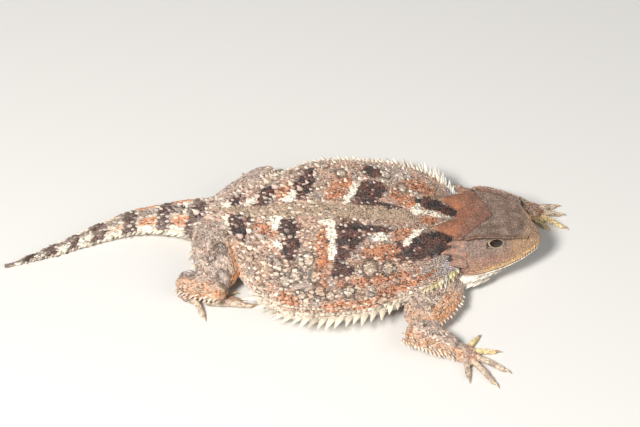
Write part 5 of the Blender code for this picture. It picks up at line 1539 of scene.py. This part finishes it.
def build_coats(hide, at, material):
    """The scales by region, from fine domes on the head to keeled scales on the limbs and tail."""
    fringe_at, _ = build_fringe(material)
    fold_at = build_neck_folds(material)
    spine_at, spine_up, spine_back, spine_reach = build_spines(material)
    build_rosettes(spine_at, spine_up, spine_back, spine_reach, material)
    build_jaw(material)
    build_brows(material)
    limb_at = build_limb_spines(material)
    trunk = (at.part == Places.TRUNK)
    under = trunk & ((at.angle < -8) | (at.angle > 188)) & (at.points[:, 2] < 3.5)
    body = trunk & ~under
    thorn_at, thorn_reach = build_thorns(hide, body & (at.x < 24), spine_at, spine_reach, material)
    tail = body & (at.x < -24)
    head = at.part == Places.HEAD
    limb = at.part == Places.LIMB
    digit = limb & (at.length >= 3)
    grain, keel = grain_form(), keeled_form()
    sections = [
        ("scales_fore_back", body & ~tail & (at.x >= 8), 0.35, 1, [grain, keel], 0.335, 0.27, 0.19, "hide"),
        ("scales_rear_back", body & ~tail & (at.x < 8), 0.36, 2, [grain, keel], 0.35, 0.28, 0.21, "hide"),
        ("scales_tail", tail, 0.44, 3, [keel], 0.5, 0.38, 0.28, "hide"),
        ("scales_belly", under, 0.8, 4, [plate_form()], 0.92, 0.8, 0.09, "hide"),
        ("scales_head", head, 0.245, 5, [grain], 0.2, 0.185, 0.1, "head_hide"),
        ("scales_limbs", limb & ~digit, 0.385, 6, [keel, grain], 0.39, 0.31, 0.2, "limb_hide"),
        ("scales_digits", digit, 0.32, 7, [keel], 0.32, 0.27, 0.1, "limb_hide"),
    ]
    for name, mask, spacing, seed, forms, long_, wide, high, slot in sections:
        roots, normals = scattered(hide, mask.astype(float), spacing, seed)
        clear = clear_of(roots, spine_at, spine_reach * 1.55)
        clear &= clear_of(roots, np.concatenate([fringe_at, limb_at, fold_at]), 0.25)
        clear &= clear_of(roots, thorn_at, thorn_reach)
        roots, normals = roots[clear], normals[clear]
        seen = beside_eye(roots) > 1.8
        roots, normals = roots[seen], normals[seen]
        where = Places(roots)
        count = len(roots)
        vary = RNG.uniform(0.7, 1.25, count) if slot != "head_hide" else RNG.uniform(0.85, 1.12, count)
        vary = vary * (1 + 0.1 * waves(roots, 3.0, 60))
        swing = RNG.normal(0, 0.28, (count, 3))
        edge = step(40, 10, where.angle) + step(140, 170, where.angle)
        outward_lean = normals * 0 + np.array([0, 1.0, 0]) * (np.sign(90 - where.angle) * edge * 0.5)[:, None]
        lies = unit(where.lie + swing + outward_lean * (where.part == Places.TRUNK)[:, None])
        grow = vary * (1 - (0.25 * step(20, 27, where.x) + 0.5 * step(-58, -74, where.x)) * (where.part == Places.TRUNK))
        kind = np.where(RNG.random(count) < 0.5, 0, len(forms) - 1)
        obj = coat_piece(name, forms, where, normals, grow * long_, grow * wide,
                         high * np.minimum(grow, vary) * RNG.uniform(0.75, 1.3, count), material, lies=lies, kind=kind,
                         pale=0.3, is_smooth=name == "scales_head")
        settled(obj, slot)
        print(name, count, "scales", len(obj.data.polygons), "triangles")


def gloss_material(name, roughness, coat):
    """The eye's dark brown, mottled by noise, under a clear wet coat."""
    made = bpy.data.materials.new(name)
    made.use_nodes = True
    nodes, link = made.node_tree.nodes, made.node_tree.links.new
    shader = nodes["Principled BSDF"]
    shader.inputs["Roughness"].default_value = roughness
    shader.inputs["Coat Weight"].default_value = coat
    shader.inputs["Coat Roughness"].default_value = 0.03
    shader.inputs["Specular IOR Level"].default_value = 0.25
    where = nodes.new("ShaderNodeTexCoord")
    noise = nodes.new("ShaderNodeTexNoise")
    noise.inputs["Scale"].default_value = 1800.0
    ramp = nodes.new("ShaderNodeValToRGB")
    ramp.color_ramp.elements[0].color = (0.004, 0.003, 0.002, 1)
    ramp.color_ramp.elements[1].color = (0.035, 0.018, 0.009, 1)
    link(where.outputs["Object"], noise.inputs["Vector"])
    link(noise.outputs["Fac"], ramp.inputs["Fac"])
    link(ramp.outputs["Color"], shader.inputs["Base Color"])
    return made


def build_stage():
    """A plain pale floor, two soft lamps, an even sky and the camera at the photograph's place."""
    size = 1500.0
    corners = np.array([(-size, -size, 0), (size, -size, 0), (size, size, 0), (-size, size, 0)])
    pale = bpy.data.materials.new("pale_floor")
    pale.use_nodes = True
    pale.node_tree.nodes["Principled BSDF"].inputs["Base Color"].default_value = (0.72, 0.71, 0.69, 1)
    pale.node_tree.nodes["Principled BSDF"].inputs["Roughness"].default_value = 0.9
    floor = mesh_piece("floor", corners, np.array([(0, 1, 2, 3)]), pale)
    for name, place, power, width in (("key", (-210, -330, 470), 4.8, 0.14), ("fill", (380, -260, 300), 0.9, 0.4)):
        lamp = bpy.data.lights.new(name, "AREA")
        lamp.energy, lamp.size = power, width
        lamp.color = (1.0, 0.97, 0.93)
        holder = bpy.data.objects.new(name, lamp)
        holder.location = Vector(place) * MM
        holder.rotation_euler = (-holder.location).to_track_quat("-Z", "Y").to_euler()
        bpy.context.scene.collection.objects.link(holder)
    world = bpy.data.worlds.new("studio")
    world.use_nodes = True
    world.node_tree.nodes["Background"].inputs["Color"].default_value = (0.9, 0.95, 1.0, 1)
    world.node_tree.nodes["Background"].inputs["Strength"].default_value = 0.22
    bpy.context.scene.world = world
    bpy.context.scene.view_settings.view_transform = "Standard"
    camera = bpy.data.cameras.new("camera")
    camera.sensor_width = SENSOR
    camera.lens = FOCAL_PIXELS / PHOTO_WIDTH * SENSOR
    holder = bpy.data.objects.new("camera", camera)
    forward = np.array([0, math.cos(CAMERA_ELEVATION), -math.sin(CAMERA_ELEVATION)])
    up = np.array([0, math.sin(CAMERA_ELEVATION), math.cos(CAMERA_ELEVATION)])
    right = np.array([1.0, 0, 0])
    across = (ORIGIN_PIXEL[0] - PHOTO_WIDTH / 2) / FOCAL_PIXELS * CAMERA_DISTANCE
    down = (ORIGIN_PIXEL[1] - PHOTO_HEIGHT / 2) / FOCAL_PIXELS * CAMERA_DISTANCE
    place = -(forward * CAMERA_DISTANCE + right * across - up * down)
    holder.location = place * MM
    holder.rotation_euler = (math.pi / 2 - CAMERA_ELEVATION, 0, 0)
    bpy.context.scene.collection.objects.link(holder)
    bpy.context.scene.camera = holder


def main():
    build_stage()
    hide_skin = hide_material("hide_skin", 0.72, 0.6)
    scale_skin = hide_material("scale_skin", 0.6, 0.5)
    horn_skin = hide_material("horn_skin", 0.66, 0.9)
    eye_skin = gloss_material("eye_skin", 0.2, 0.35)
    hide, at = build_hide(hide_skin)
    flesh = ["head", "neck", "torso", "tail_base", "tail_mid", "tail_tip"]
    for limb in LIMBS.values():
        flesh += limb["replaces"]
    settled(hide, "hide", *flesh)
    print("hide", len(hide.data.polygons), "faces")
    build_eyes(eye_skin, scale_skin, scale_skin)
    build_horns(horn_skin, scale_skin)
    build_claws(horn_skin)
    build_coats(hide, at, scale_skin)


main()
